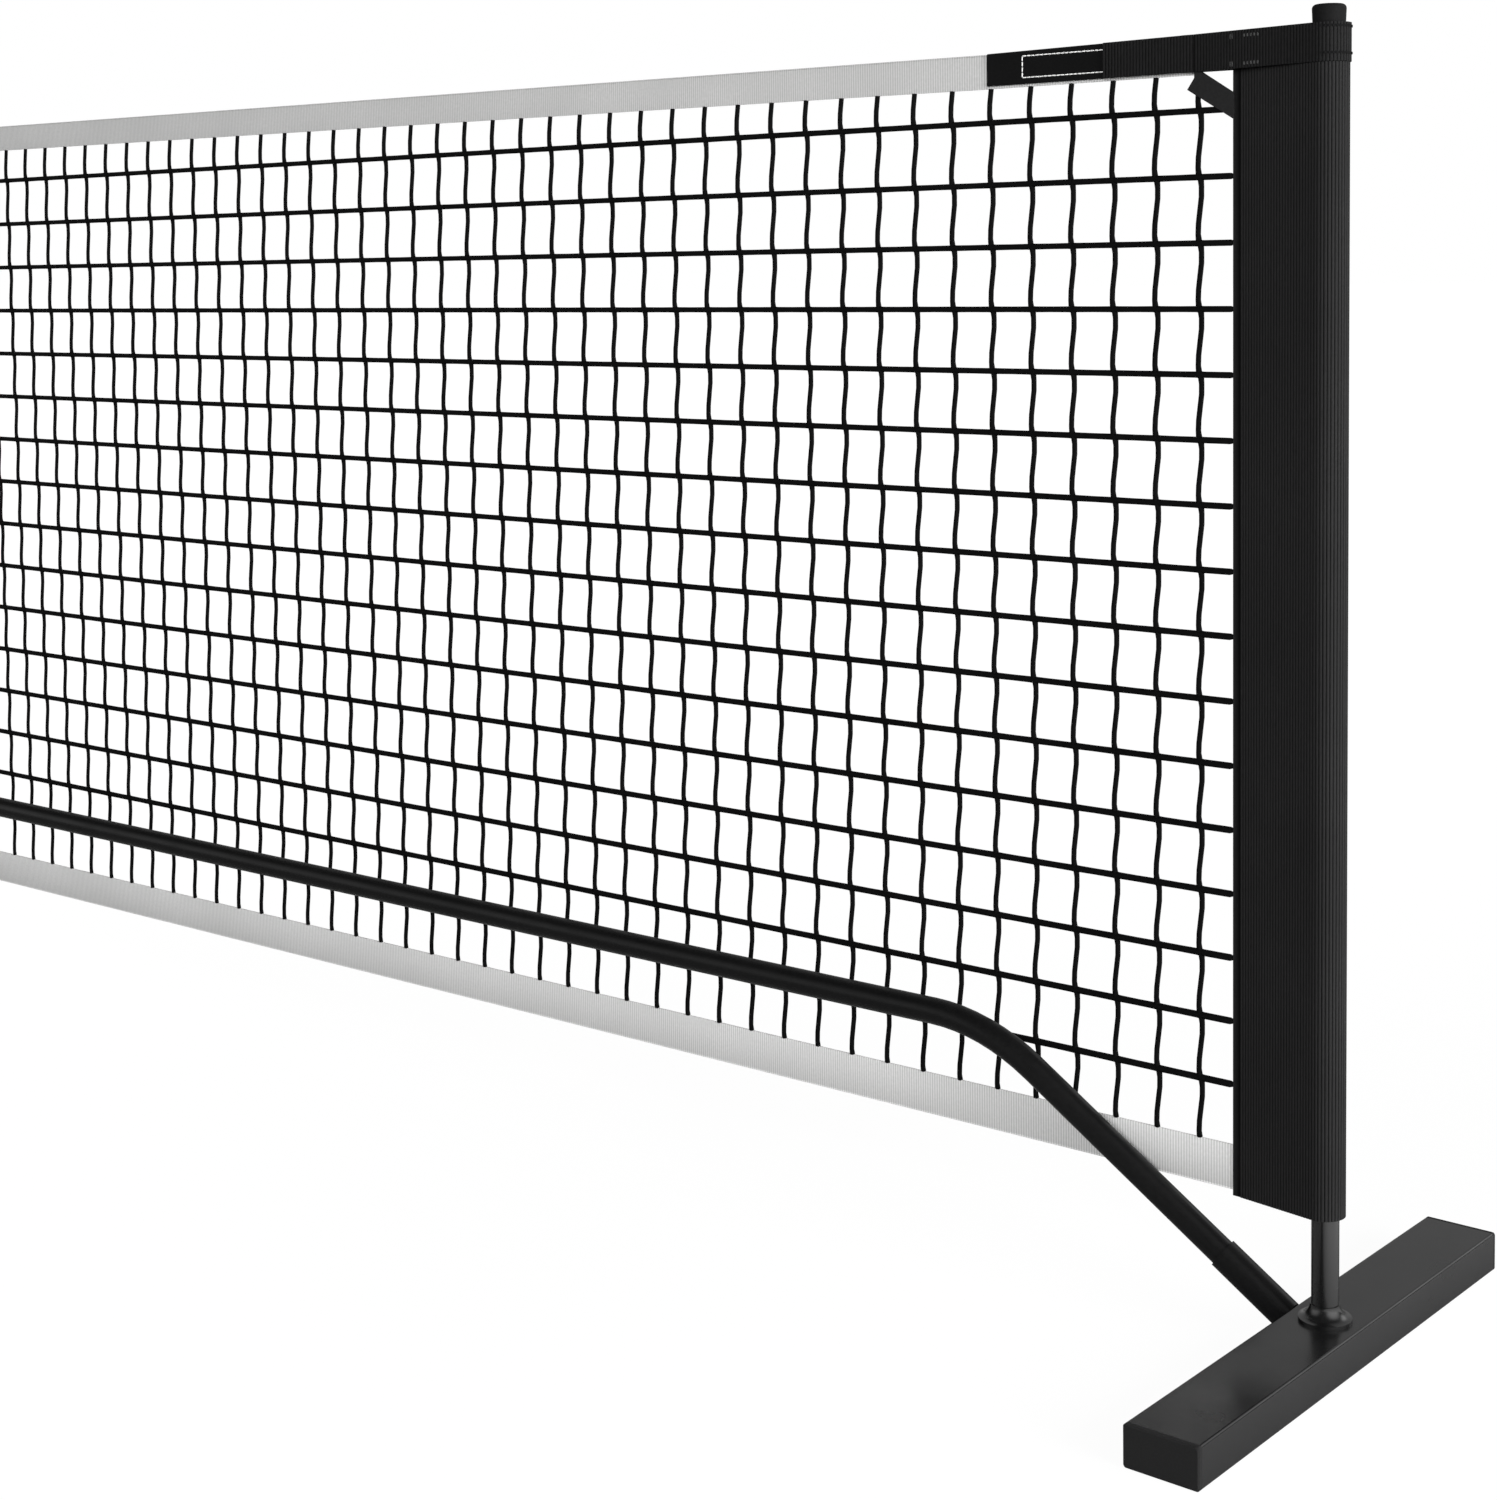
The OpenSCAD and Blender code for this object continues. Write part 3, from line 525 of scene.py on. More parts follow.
@dataclass
class Netting:
    """The knotted net: upright cords that wave from knot to knot, and straight cords across."""

    cord: float = 3.85 * MM
    crosswise: float = 5.0 * MM
    columns: int = 188
    first_column: float = 100.1 * MM
    rows: int = 16
    top_row: float = 862.3 * MM
    row_pitch: float = 45.55 * MM
    upper_end: float = 887.0 * MM
    lower_end: float = 135.4 * MM
    knot: float = 1.28
    bulge: float = 1.08
    sway: float = 1.35 * MM
    seam: float = 73.5 * MM
    stations: tuple[tuple[float, float, float], ...] = (
        (0.0, 0.0, 1.0), (0.055, 0.62, 0.45), (0.14, 0.95, 0.0), (0.30, 0.92, 0.0),
        (0.50, 0.05, 0.0), (0.70, -0.80, 0.0), (0.86, -1.0, 0.0), (0.945, -0.65, 0.45))

    @property
    def pitch(self) -> float:
        """The distance from one upright cord to the next."""
        return 2 * (POST_X - self.first_column) / (self.columns - 1)

    def build(self) -> None:
        """Makes the whole net in pieces of a modest size."""
        quarter = self.columns // 4
        for part in range(4):
            start = -POST_X + self.first_column + part * quarter * self.pitch
            piece = self._upright(f"net_uprights_{part + 1}", start)
            Bench.repeat(piece, quarter, (self.pitch, 0.0, 0.0))
            self._trim(piece, -1 if part < 2 else 1)
            tell(piece, "net", Finishes.CORD, *(["net_mesh"] if part == 0 else []))
        tell(self._rows(), "net", Finishes.CORD)

    def _heights(self) -> list[tuple[float, float, float]]:
        """The height, sway and knot of each ring down one upright cord."""
        found = []
        for row in range(-1, self.rows):
            for share, sway, knot in self.stations:
                z = self.top_row - (row + share) * self.row_pitch
                if self.lower_end < z < self.upper_end + RISE:
                    found.append((z, sway * self.sway, 1 + (self.knot - 1) * knot))
        above = (self.upper_end + RISE + MM, 0.1 * self.sway, 1.0)
        return [above, *found, (self.lower_end, -0.6 * self.sway, 1.0)]

    def _trim(self, piece: Piece, way: int) -> None:
        """Cuts the cords of one half of the net off inside the top tape, which rises to the middle."""
        boundary = LEVEL_FROM + 12 * MM
        bpy.ops.object.mode_set(mode="EDIT")
        Bench.pick(piece, lambda co: abs(co.x) < boundary)
        Bench.trim((0.0, 0.0, self.upper_end + RISE), (way * RISE / LEVEL_FROM, 0.0, 1.0))
        Bench.pick(piece, lambda co: abs(co.x) > boundary)
        Bench.trim((0.0, 0.0, self.upper_end), (0.0, 0.0, 1.0))
        Bench.close(CORD_ANGLE)

    def _upright(self, name: str, x: float) -> Piece:
        """Draws one upright cord from the top tape to the bottom tape."""
        heights = self._heights()
        z, sway, wide = heights[0]
        piece = Bench.ring(name, CORD_SIDES, self.cord / 2, (x + sway, NET_Y, z))
        for below, shift, size in heights[1:]:
            Bench.push((shift - sway, 0.0, below - z))
            ratio = size / wide
            Bench.swell((ratio, ratio, 1.0), (x + shift, NET_Y, below))
            z, sway, wide = below, shift, size
        Bench.close(CORD_ANGLE)
        return piece

    def _rows(self) -> Piece:
        """Makes the straight cords, thicker where they pass through a knot."""
        start = -POST_X + self.first_column
        piece = Bench.ring("net_rows", CORD_SIDES, self.bulge * self.crosswise / 2,
                           (start, NET_Y, self.top_row), (0.0, math.pi / 2, 0.0), filled=False)
        at, wide = 0.0, self.bulge
        for share, size in ((0.085, 1.0), (0.5, 0.96), (0.915, 1.0), (1.0, self.bulge)):
            Bench.push(((share - at) * self.pitch, 0.0, 0.0))
            ratio = size / wide
            Bench.swell((1.0, ratio, ratio), (0.0, NET_Y, self.top_row))
            at, wide = share, size
        Bench.close(CORD_ANGLE)
        Bench.repeat(piece, self.columns - 1, (self.pitch, 0.0, 0.0), weld=True)
        bpy.ops.object.mode_set(mode="EDIT")
        reach = self.first_column - self.seam
        for way in (-1, 1):
            edge = way * (POST_X - self.first_column)
            Bench.pick(piece, lambda co, edge=edge: abs(co.x - edge) < 0.01 * MM)
            for part, size in ((0.1, 1 / self.bulge), (0.8, 1.0), (0.1, 0.6)):
                Bench.push((way * part * reach, 0.0, 0.0))
                Bench.swell((1.0, size, size), (0.0, NET_Y, self.top_row))
            Bench.fill()
        Bench.close(CORD_ANGLE)
        Bench.repeat(piece, self.rows, (0.0, 0.0, -self.row_pitch))
        return piece


@dataclass
class Tape:
    """A pale ribbed tape, folded over one edge of the net."""

    name: str
    node: str
    reach: float
    bottom: float
    top: float
    fold_up: bool
    finish: Finish
    rise: float = 0.0
    half: float = 0.62 * MM
    layer: float = 0.54 * MM
    ribs: int = 1477
    relief: float = 0.26 * MM

    def build(self) -> None:
        """Makes one rib's width of tape, repeats it to the net's end and mirrors that half."""
        pitch = self.reach / self.ribs
        sloped = round(LEVEL_FROM / pitch)
        part = self._painted_groove_shade(self.name, 0.0, self.rise, sloped, -self.rise / sloped)
        end = self._painted_groove_shade("tape_end", sloped * pitch, 0.0, self.ribs - sloped, 0.0)
        right = Bench.join(self.name, [part, end])
        piece = Bench.join(self.name, [right, Bench.mirrored(right)])
        bpy.ops.object.mode_set(mode="EDIT")
        bpy.ops.mesh.select_all(action="SELECT")
        bpy.ops.mesh.remove_doubles(threshold=0.1 * MM)
        for way in (-1, 1):
            Bench.pick(piece, lambda co, way=way: abs(co.x - way * self.reach) < 0.05 * MM)
            Bench.fill()
        Bench.close()
        tell(piece, "net", self.finish, self.node)

    def _painted_groove_shade(self, name: str, start: float, lift: float, count: int, fall: float) -> Piece:
        """A run of ribs along the tape, each a little lower than the last where the tape slopes.

        Args:
            name: The run's name.
            start: Where the run starts along the net.
            lift: How much higher than the ends of the net it starts.
            count: How many ribs it has.
            fall: How far each rib climbs, less than zero where the tape falls.

        Returns:
            The run, open at both ends.
        """
        pitch = self.reach / self.ribs
        fold, hem = (self.top, self.bottom) if self.fold_up else (self.bottom, self.top)
        inward = MM if fold < hem else -MM
        gap = self.half - self.layer
        face = [(1.0, hem), (1.0, fold + 1.5 * inward), (0.5, fold + 1.15 * inward), (1.0, fold + 0.8 * inward),
                (0.8, fold + 0.2 * inward)]
        outline = [(-y * self.half, z) for y, z in face] + [(0.0, fold)]
        outline += [(y * self.half, z) for y, z in face[::-1]]
        outline += [(gap, hem), (gap, fold + inward), (-gap, fold + inward), (-gap, hem)]
        piece = Bench.draw(name, [(start, NET_Y + y, z + lift) for y, z in outline])
        crown = 1 + self.relief / self.half
        for size in (crown, 1 / crown):
            Bench.push((0.5 * pitch, 0.0, 0.5 * fall))
            Bench.swell((1.0, size, 1.0), (0.0, NET_Y, 0.0))
        Bench.close()
        Bench.repeat(piece, count, (pitch, 0.0, fall), weld=True)
        return piece


@dataclass
class Wrap:
    """The outline of fabric that leaves a seam, goes round a post and comes back to the seam."""

    radius: float
    inset: float
    half: float
    grooves: list[Flat] = field(default_factory=list)

    def _turns(self, front: Vector, back: Vector) -> Flat:
        """The angles at which the two straight runs touch the circle."""
        first = math.atan2(front.y, front.x) + math.acos(self.radius / front.length)
        last = math.atan2(back.y, back.x) - math.acos(self.radius / back.length)
        while first > last:
            first -= 2 * math.pi
        return first, last

    def line(self, step: float, skip: float = 0.0, relief: float = 0.0) -> list[Flat]:
        """Walks the outline from the front of the seam to its back.

        Args:
            step: The width of one rib.
            skip: The plain width at each end, without ribs.
            relief: How far the grooves are sunk.

        Returns:
            Points in the plane of the ground, with the post's axis as origin.
        """
        ends = [Vector((-self.inset, NET_Y - self.half)), Vector((-self.inset, NET_Y + self.half))]
        first, last = self._turns(*ends)
        touch = [Vector((self.radius * math.cos(a), self.radius * math.sin(a))) for a in (first, last)]
        run = (touch[0] - ends[0]).length
        arc = self.radius * (last - first)
        total = 2 * run + arc

        def at(distance: float) -> tuple[Vector, Vector]:
            """The point and the outward direction at a distance along the outline."""
            if distance <= run:
                way = (touch[0] - ends[0]).normalized()
                return ends[0] + way * distance, Vector((way.y, -way.x))
            if distance <= run + arc:
                angle = first + (distance - run) / self.radius
                out = Vector((math.cos(angle), math.sin(angle)))
                return out * self.radius, out
            way = (ends[1] - touch[1]).normalized()
            return touch[1] + way * (distance - run - arc), Vector((way.y, -way.x))

        count = round((total - 2 * skip) / step)
        width = (total - 2 * skip) / count
        marks = [(0.0, 0.0)] if skip else []
        for rib in range(count):
            start = skip + rib * width
            marks += [(start, relief), (start + 0.2 * width, 0.0), (start + 0.8 * width, 0.0)]
        marks.append((total - skip, relief))
        if skip:
            marks.append((total, 0.0))
        found = []
        for distance, sunk in marks:
            spot, out = at(distance)
            spot = spot - out * sunk
            found.append((spot.x, spot.y))
            if sunk:
                self.grooves.append((spot.x, spot.y))
        return found


@dataclass
class Sleeve:
    """The ribbed sleeve that the post slides into."""

    bottom: float = 103.0 * MM
    slant: float = 3.6 / 73.3
    top: float = 888.6 * MM
    inset: float = 73.3 * MM
    bore: float = 11.8 * MM
    thick: float = 2.0 * MM
    rib: float = 2.5 * MM
    relief: float = 0.5 * MM
    band: float = 6.5 * MM

    def build(self) -> None:
        """Makes the right sleeve and its copy at the left."""
        wrap = Wrap(self.bore + self.thick, self.inset, 1.8 * MM)
        outer = wrap.line(self.rib, self.band, self.relief)
        inner = Wrap(self.bore, self.inset, 0.1 * MM).line(6 * MM)
        loop = outer + inner[::-1]
        points = [(POST_X + x, y, self.bottom + self.slant * x) for x, y in loop]
        height = self.top - self.bottom
        piece = Bench.prism("right_sleeve_fabric", points, (0.0, 0.0, height))
        Bench.swell((1.0, 1.0, 0.0), (0.0, 0.0, self.top))
        Bench.close()
        Bench.mark(piece, wrap.grooves)
        dress_ends(piece, "net", Finishes.SLEEVE, "sleeve")


@dataclass
class TopStrap:
    """The webbing round the post's top, with its tail behind the tape."""

    bore: float = 11.8 * MM
    thick: float = 2.8 * MM
    inset: float = 103.0 * MM
    half: float = 3.7 * MM
    tail: float = 176.0 * MM
    rib: float = 2.5 * MM
    relief: float = 0.35 * MM

    def build(self) -> None:
        """Makes the right strap and its copy at the left."""
        wrap = Wrap(self.bore + self.thick, self.inset, self.half)
        outer = wrap.line(self.rib, 1 * MM, self.relief)
        inner = Wrap(self.bore, self.inset - 6 * MM, 0.3 * MM).line(6 * MM)
        loop = [(-self.inset, outer[0][1] + self.relief)] + outer[1:-1]
        loop += [(-self.inset, NET_Y + 3.5 * MM), (-self.inset, NET_Y + 0.3 * MM)]
        loop += inner[::-1] + [(-self.inset, NET_Y - 0.3 * MM)]
        back, front = NET_Y + 3.5 * MM, NET_Y + 2.15 * MM
        tail: list[Flat] = []
        for rib in range(round((self.tail - self.inset) / self.rib)):
            x = -self.inset - rib * self.rib
            wrap.grooves.append((x, back - self.relief))
            tail += [(x, back - self.relief), (x - 0.3 * self.rib, back), (x - 0.7 * self.rib, back)]
        tail += [(-self.tail, NET_Y + 3.3 * MM), (-self.tail, front), (-self.inset, front)]
        piece = Bench.join("right_strap_webbing", [stand("right_strap_webbing", loop, False),
                                                   stand("strap_tail", tail, True)])
        Bench.mark(piece, wrap.grooves)
        dress_ends(piece, "net", Finishes.WEBBING, "top_strap")


@dataclass
class StrapFlap:
    """The free end of the strap, which lies on the patch."""

    near: float = 103.3 * MM
    far: float = 176.0 * MM
    front: float = 1.3 * MM
    thick: float = 1.4 * MM
    rib: float = 2.5 * MM
    relief: float = 0.35 * MM

    def build(self) -> None:
        """Makes the right flap and its copy at the left."""
        count = round((self.far - self.near) / self.rib)
        width = (self.far - self.near) / count
        loop = [(-self.near, self.front + 0.45 * self.thick)]
        grooves = [(-self.near - (rib + 0.1) * width, self.front + self.relief) for rib in range(count)]
        for x, y in grooves:
            loop += [(x, y), (x - 0.2 * width, self.front), (x - 0.8 * width, self.front)]
        loop += [(-self.far, self.front + 0.4 * self.thick), (-self.far, self.front + 0.7 * self.thick),
                 (-self.far + 0.5 * MM, self.front + self.thick),
                 (-self.near - 0.5 * MM, self.front + self.thick),
                 (-self.near, self.front + 0.6 * self.thick)]
        piece = stand("right_flap_webbing", loop, True)
        Bench.mark(piece, grooves)
        dress_ends(piece, "{}_strap_flap", Finishes.WEBBING, "strap_flap")


@dataclass
class StrapPatch:
    """The smooth patch, folded over the end of the top tape."""

    near: float = 103.3 * MM
    far: float = 276.2 * MM
    half: float = 2.0 * MM
    thick: float = 1.0 * MM

    def build(self) -> None:
        """Makes the right patch, folded round the tape, and its copy at the left."""
        inner = self.half - self.thick
        top = STRAP_TOP - STRAP_FALL * (self.far - self.near)
        arch = [(-self.half, STRAP_BOTTOM), (-self.half, top - 1.1 * MM), (-0.6 * self.half, top - 0.25 * MM),
                (0.0, top), (0.6 * self.half, top - 0.25 * MM), (self.half, top - 1.1 * MM),
                (self.half, STRAP_BOTTOM), (inner, STRAP_BOTTOM), (inner, top - 0.45 * MM),
                (-inner, top - 0.45 * MM), (-inner, STRAP_BOTTOM)]
        points = [(POST_X - self.far, NET_Y + y, z) for y, z in arch]
        piece = Bench.prism("right_patch_fabric", points, (self.far - self.near, 0.0, 0.0))
        Bench.swell((1.0, 1.0, STRAP_HEIGHT / (top - STRAP_BOTTOM)), (0.0, 0.0, STRAP_BOTTOM))
        Bench.close()
        dress_ends(piece, "net", Finishes.PATCH, "strap_patch")


@dataclass
class CornerTab:
    """The slanted strip between the sleeve's seam and the strap."""

    front: float = 1.9 * MM
    thick: float = 1.4 * MM
    corners: tuple[Flat, ...] = ((72.0, 855.0), (72.0, 873.1), (96.9, 888.7), (102.9, 888.7), (102.9, 884.7),
                                 (108.4, 876.9))

    def build(self) -> None:
        """Makes the right tab and its copy at the left."""
        points = [(POST_X - x * MM, self.front, z * MM) for x, z in self.corners]
        piece = Bench.prism("right_tab_webbing", points, (0.0, self.thick, 0.0))
        Bench.close()
        Bench.bevel(piece, 0.25 * MM)
        dress_ends(piece, "net", Finishes.TAB, "corner_tab")


@dataclass
class Stitching:
    """Rows of sewing thread, each stitch a short rounded bar lying on the cloth."""

    proud: float = 0.35 * MM
    lean: float = 0.156

    def row(self, name: str, start: Point, end: Point, width: float = 0.85 * MM,
            length: float = 3.6 * MM, pitch: float = 3.7 * MM) -> Piece:
        """Lays one row of stitches on a face that looks along -Y.

        Args:
            name: The row's name.
            start: Where the row starts.
            end: Where it ends.
            width: The thread's width.
            length: A stitch's length.
            pitch: From one stitch to the next, before they are spread evenly.

        Returns:
            The row as one piece.
        """
        span = Vector(end) - Vector(start)
        count = round(span.length / pitch)
        way = span.normalized()
        side = way.cross(Vector((0.0, 1.0, 0.0)))
        outline = [(-0.5, 0.0), (-0.36, 0.5), (0.36, 0.5), (0.5, 0.0), (0.36, -0.5), (-0.36, -0.5)]
        first = Vector(start) + way * (span.length / count / 2)
        points = [tuple(first + way * (u * length) + side * (v * width)) for u, v in outline]
        rise = (0.0, -0.6 * self.proud, 0.0)
        piece = Bench.prism(name, points, rise)
        Bench.push((0.0, -0.4 * self.proud, 0.0))
        Bench.swell((0.7, 1.0, 0.7), tuple(first + Vector(rise)))
        Bench.close(STITCH_ANGLE)
        Bench.repeat(piece, count, tuple(way * (span.length / count)))
        return piece

    def build(self) -> None:
        """Sews the open box on the patch, and the bar tacks and the rough ridges on the strap."""
        face = NET_Y - 2.0 * MM
        low, high, far, near = 893.4 * MM, 908.9 * MM, POST_X - 245 * MM, POST_X - 176.5 * MM
        box = Bench.join("right_box_stitch", [
            self.row("box_low", (far, face, low), (near, face, low)),
            self.row("box_high", (far, face, high), (near, face, high)),
            self.row("box_end", (far, face, low), (far, face, high), pitch=3.9 * MM)])
        tacks = []
        for height in (891.9 * MM, 910.5 * MM):
            for left, right, tall, pitch in ((72.5, 69.3, 3.4 * MM, 1.6 * MM), (61.5, 47.5, 2.2 * MM, 2.8 * MM)):
                start, end = ((POST_X - x * MM, NET_Y - 3.75 * MM - self.lean * (103.0 - x) * MM, height)
                              for x in (left, right))
                tacks.append(self.row("tack", start, end, width=tall, length=0.55 * pitch, pitch=pitch))
        bars = Bench.join("right_bar_tacks", tacks)
        ridges = Bench.join("right_loop_ridges", [self._ridge(893.6 * MM), self._ridge(911.2 * MM)])
        for piece, finish in ((box, Finishes.WHITE_THREAD), (bars, Finishes.GREY_THREAD),
                              (ridges, Finishes.PATCH)):
            for thread in (piece, Bench.mirrored(piece)):
                tell(thread, "net", finish)

    @staticmethod
    def _ridge(height: float) -> Piece:
        """Sews a rough ridge round the front and the side of the strap's loop."""
        turns = [math.radians(angle) for angle in range(-84, 66, 5)]
        outer = [((15.25 - 0.6 * (index % 2)) * MM, turn) for index, turn in enumerate(turns)]
        line = outer + [(14.3 * MM, turn) for turn in turns[::-1]]
        line = [(POST_X + r * math.cos(a), r * math.sin(a), height) for r, a in line]
        piece = Bench.prism("ridge", line, (0.0, 0.0, 1.5 * MM))
        Bench.close()
        return piece


@dataclass
class CentrePocket:
    """The pocket sewn to the front of the top tape, over the tip of the middle rod."""

    rod_y: float = -7.0 * MM
    radius: float = 5.8 * MM
    thick: float = 1.4 * MM
    half: float = 22.0 * MM
    bottom: float = 905.3 * MM
    ceiling: float = 925.3 * MM
    top: float = 928.1 * MM

    def build(self) -> None:
        """Makes the pocket as a strip round the rod with a closed top."""
        back = NET_Y - 0.8 * MM - self.rod_y
        outer = self._arch(self.radius + self.thick, self.half, back)
        inner = self._arch(self.radius, self.half - 5.6 * MM, back - self.thick)
        points = [(x, self.rod_y + y, self.bottom) for x, y in outer]
        piece = Bench.prism("centre_pocket_fabric", points, (0.0, 0.0, self.top - self.bottom))
        Bench.close()
        points = [(x, self.rod_y + y, self.bottom - MM) for x, y in inner]
        hollow = Bench.prism("pocket_hollow", points, (0.0, 0.0, self.ceiling - self.bottom + MM))
        Bench.close(EDGE_ANGLE)
        Bench.modify(piece, "BOOLEAN", operation="DIFFERENCE", solver="EXACT", object=hollow)
        bpy.data.objects.remove(hollow)
        Bench.bevel(piece, 0.3 * MM)
        tell(piece, "net", Finishes.WEBBING, "centre_pocket")

    def _arch(self, radius: float, half: float, back: float) -> list[Flat]:
        """The outline of the pocket seen from above, with the rod's axis as origin."""
        reach = math.hypot(half, back)
        turn = math.atan2(back, half) - math.acos(radius / reach)
        count = 14
        arc = [math.pi - turn + i * (math.pi + 2 * turn) / count for i in range(count + 1)]
        return [(half, back), (-half, back)] + [(radius * math.cos(a), radius * math.sin(a)) for a in arc]


class SteelFrame:
    """The rigid solids that stay as they are and get their finishes here."""

    WORDS = (
        (("button",), Finishes.BRIGHT_STEEL),
        (("foot_caps",), Finishes.FOOT_PLASTIC),
        (("post_cap", "centre_tee", "rod_tip", "height_knob"), Finishes.BLACK_PLASTIC),
        (("foot_bar",), Finishes.FOOT_STEEL),
        (("post_stub", "base_collar"), Finishes.STUB_STEEL),
        (("leg_socket", "bent_bar", "straight_bar", "centre_bar", "centre_leg", "post_tube"),
         Finishes.BLACK_STEEL),
        (("centre_rod",), Finishes.ROD),
    )

    def build(self) -> None:
        """Gives each carried-over solid the first finish that has a word of its name."""
        for name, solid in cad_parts.items():
            for words, finish in self.WORDS:
                if any(word in name for word in words):
                    Finishes.put(solid, finish)
                    LOG.info("%s keeps its solid, %s", name, finish.name)
                    break


@dataclass
class Studio:
    """The pale floor, the soft light and the camera."""

    eye: Point = (4.1392, -1.5390, 0.7609)
    yaw: float = 40.04
    pitch: float = 4.79
    roll: float = -0.917
    lens: float = 60.425
    aside: float = -0.0007
    lift: float = -0.1824
    gloom: float = 0.04
    backdrop: Point = (-0.64, 0.76, -0.08)
    backdrop_from: float = 0.95
    backdrop_share: float = 0.35
    floor_grey: float = 0.26
    floor_share: float = 0.8
    glows: tuple[tuple[Point, float, float, float], ...] = (
        ((1.0, -0.10, 0.10), 0.50, 0.97, 1.6), ((-0.70, -0.71, 0.0), 0.72, 0.99, 0.85),
        ((-0.40, 0.76, 0.52), 0.50, 0.92, 0.36), ((0.33, 0.84, 0.43), 0.95, 0.995, 1.4))

    def build(self) -> None:
        """Sets up everything that isn't part of the net."""
        self._camera()
        self._world()
        self._floor()
        self._lamp("front_softbox", (3.9, -6.0, 3.2), (2.6, 0.0, 0.4), (3.0, 3.0), 290.0)
        self._lamp("side_softbox", (5.9, -0.4, 0.7), (3.4, 0.0, 0.3), (1.4, 1.6), 150.0)

    def _camera(self) -> None:
        """Places the camera, with its optical axis above the middle of the frame."""
        yaw, pitch, roll = (math.radians(a) for a in (self.yaw, self.pitch, self.roll))
        look = Vector((-math.sin(yaw) * math.cos(pitch), math.cos(yaw) * math.cos(pitch), -math.sin(pitch)))
        right = look.cross(Vector((0.0, 0.0, 1.0))).normalized()
        up = right.cross(look)
        right, up = (math.cos(roll) * right + math.sin(roll) * up, math.cos(roll) * up - math.sin(roll) * right)
        data = bpy.data.cameras.new("camera")
        data.sensor_width = 36.0
        data.lens = self.lens
        data.shift_x = self.aside
        data.shift_y = self.lift
        data.clip_start = 0.05
        data.clip_end = 200.0
        camera = bpy.data.objects.new("camera", data)
        turn = Matrix((right, up, -look)).transposed().to_4x4()
        camera.matrix_world = Matrix.Translation(self.eye) @ turn
        bpy.context.collection.objects.link(camera)
        bpy.context.scene.camera = camera

    def _world(self) -> None:
        """White for the camera, and a dim room with a few brighter sides for the rest."""
        world = bpy.data.worlds.new("room")
        bpy.context.scene.world = world
        world.use_nodes = True
        world.node_tree.nodes.clear()
        wiring = Wiring(world.node_tree, "Generated")
        total: Socket | None = None
        for toward, start, full, strength in self.glows:
            low = 0.0 if total else self.gloom
            glow = self._facing(wiring, toward, start, full, low, strength)
            total = wiring.add("Math", {0: total, 1: glow}).outputs[0] if total else glow
        behind = self._facing(wiring, self.backdrop, self.backdrop_from, 1.0, 0.0, self.backdrop_share)
        room = wiring.add("Background", {"Color": WHITE, "Strength": total})
        plain = wiring.add("Background", {"Color": WHITE})
        mix = wiring.add("MixShader", {0: self._shown(wiring, behind), 1: room.outputs[0], 2: plain.outputs[0]})
        wiring.add("OutputWorld", {"Surface": mix.outputs[0]})

    @staticmethod
    def _facing(wiring: Wiring, toward: Point, start: float, full: float, low: float,
                high: float) -> Socket:
        """A value that grows softly from low to high as a ray turns toward a direction."""
        way = Vector(toward).normalized()
        facing = wiring.add("VectorMath", {0: wiring.place, 1: way}, operation="DOT_PRODUCT")
        return wiring.remap(facing.outputs["Value"], start, full, low, high, interpolation_type="SMOOTHSTEP")

    @staticmethod
    def _shown(wiring: Wiring, part: Socket) -> Socket:
        """How much of the plain white a ray meets: camera rays all, mirrored and bent rays a part.

        Args:
            wiring: The nodes that this goes into.
            part: The share that mirrored and bent rays meet.

        Returns:
            The share, from 0 to 1.
        """
        path = wiring.add("LightPath").outputs
        bounced = wiring.add("Math", {0: path["Is Glossy Ray"], 1: path["Is Transmission Ray"]},
                             operation="MAXIMUM")
        seen = wiring.add("Math", {0: bounced.outputs[0], 1: part, 2: path["Is Camera Ray"]},
                          operation="MULTIPLY_ADD")
        return seen.outputs[0]

    def _floor(self) -> None:
        """A pale floor that keeps a light shadow under the feet."""
        Bench.clear()
        bpy.ops.mesh.primitive_plane_add(size=120.0, location=(0.0, 0.0, -0.0005))
        floor = bpy.context.object
        floor.name = "floor"
        material = bpy.data.materials.new("pale_floor")
        material.use_nodes = True
        material.node_tree.nodes.clear()
        wiring = Wiring(material.node_tree, "Object")
        far = wiring.add("VectorMath", {0: wiring.place, 1: (POST_X, 0.0, 0.0)}, operation="DISTANCE")
        level = wiring.remap(far.outputs["Value"], 0.6, 4.0, 1.19, 1.27)
        split = wiring.add("SeparateXYZ", {0: wiring.place})
        beside = wiring.remap(split.outputs["X"], POST_X + 0.02, POST_X + 0.22)
        share = wiring.add("Math", {0: self._shown(wiring, beside), 1: self.floor_share}, operation="MULTIPLY")
        matt = wiring.add("BsdfDiffuse", {"Color": (*[self.floor_grey] * 3, 1.0)})
        glow = wiring.add("Emission", {"Color": WHITE, "Strength": level})
        mix = wiring.add("MixShader", {0: share.outputs[0], 1: matt.outputs[0], 2: glow.outputs[0]})
        wiring.add("OutputMaterial", {"Surface": mix.outputs[0]})
        floor.data.materials.append(material)

    def _lamp(self, name: str, spot: Point, aim: Point, size: Flat, power: float) -> None:
        """Hangs one softbox that looks at a point and that mirrored rays don't see."""
        data = bpy.data.lights.new(name, "AREA")
        data.shape = "RECTANGLE"
        data.size, data.size_y = size
        data.energy = power
        lamp = bpy.data.objects.new(name, data)
        lamp.visible_glossy = False
        lamp.location = spot
        lamp.rotation_mode = "QUATERNION"
        lamp.rotation_quaternion = (Vector(aim) - Vector(spot)).to_track_quat("-Z", "Y")
        bpy.context.collection.objects.link(lamp)


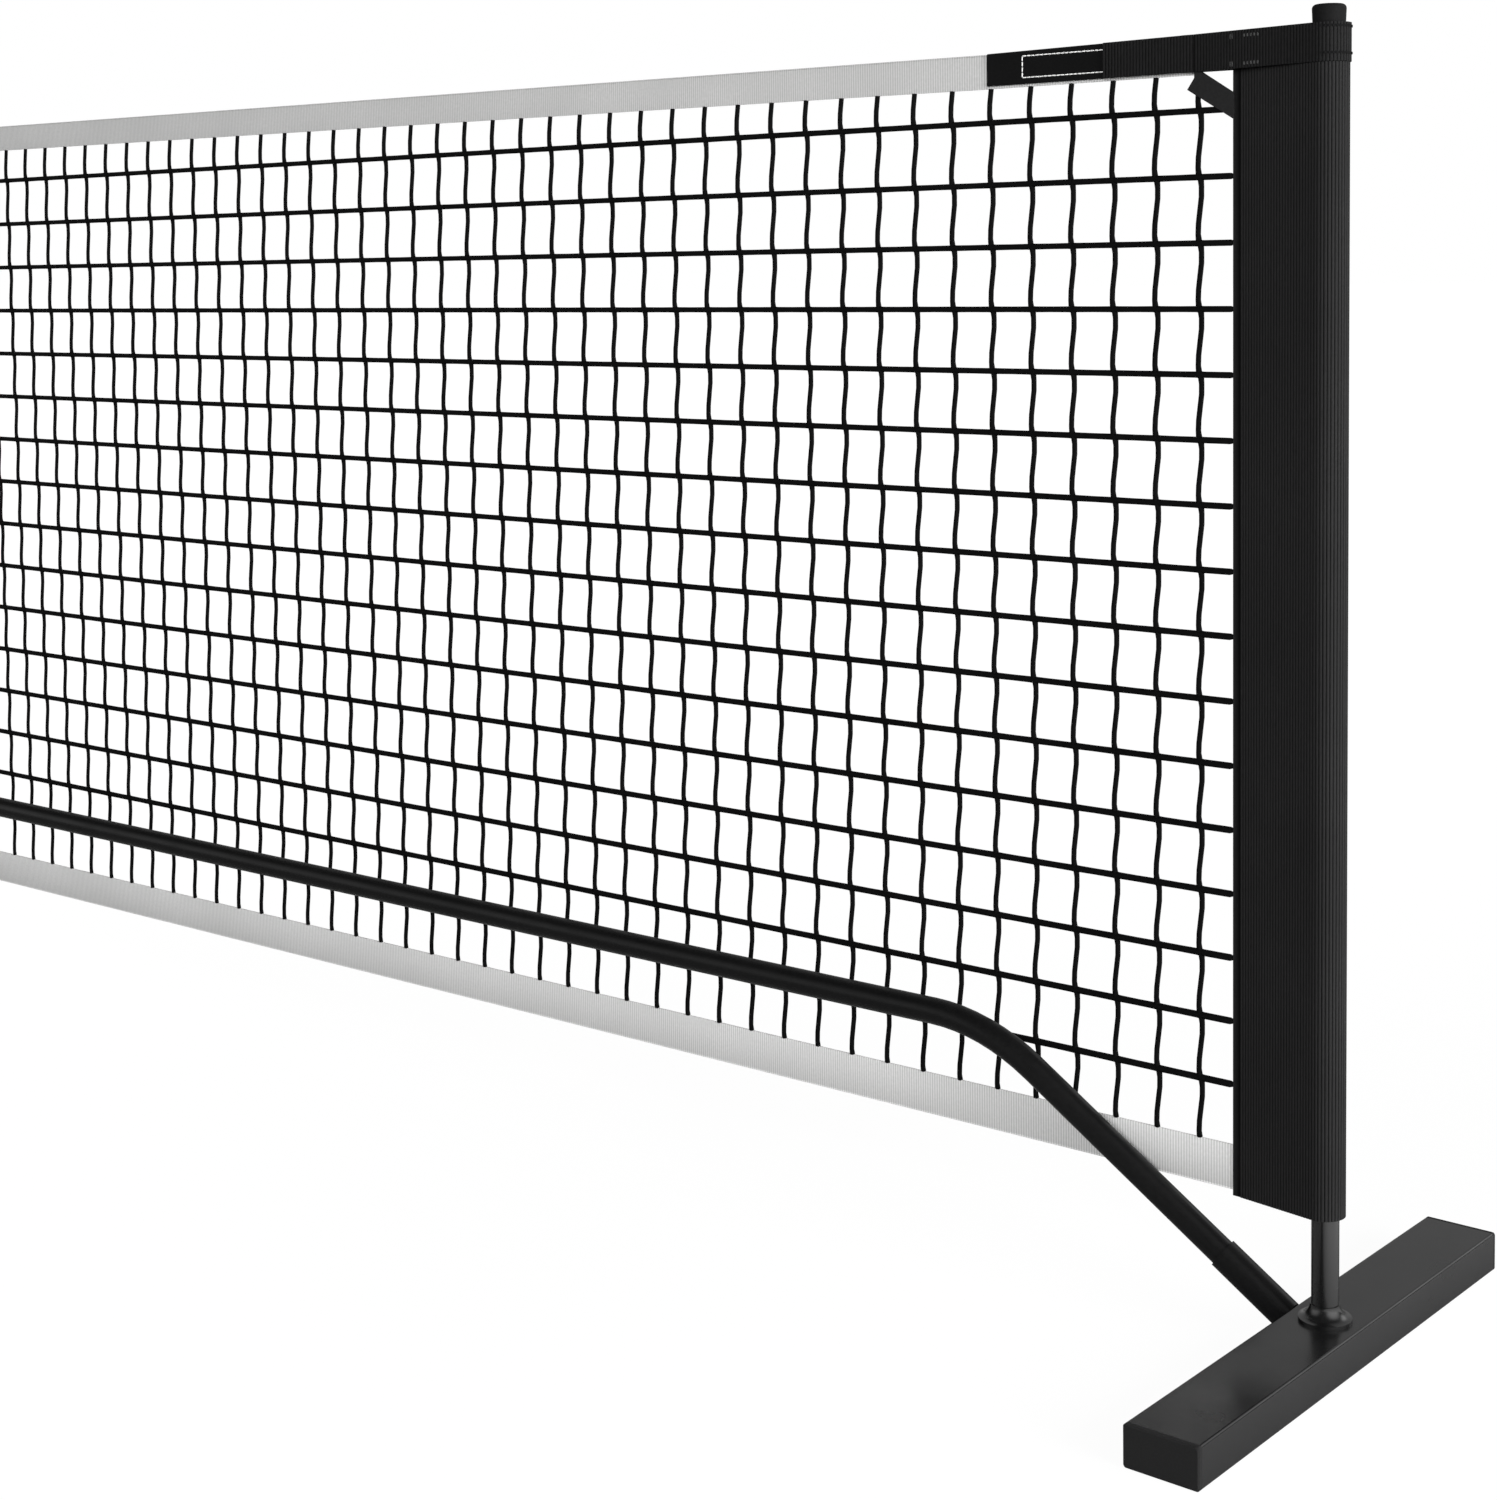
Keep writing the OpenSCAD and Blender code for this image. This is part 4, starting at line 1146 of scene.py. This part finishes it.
def main() -> None:
    """Builds the studio, then the net from the steel outwards."""
    logging.basicConfig(level=logging.INFO, format="%(name)s %(message)s")
    bpy.context.scene.view_settings.view_transform = "Standard"
    Studio().build()
    SteelFrame().build()
    Netting().build()
    Tape("top_tape_cloth", "top_tape", POST_X - 103.2 * MM, 886.8 * MM, NET_TOP, True,
         Finishes.TAPE, RISE).build()
    Tape("bottom_tape_cloth", "bottom_tape", POST_X - 73.4 * MM, 103.0 * MM, 135.6 * MM, False,
         Finishes.HEM).build()
    Sleeve().build()
    TopStrap().build()
    StrapPatch().build()
    StrapFlap().build()
    CornerTab().build()
    CentrePocket().build()
    Stitching().build()
    Bench.clear()


if __name__ == "__main__":
    main()
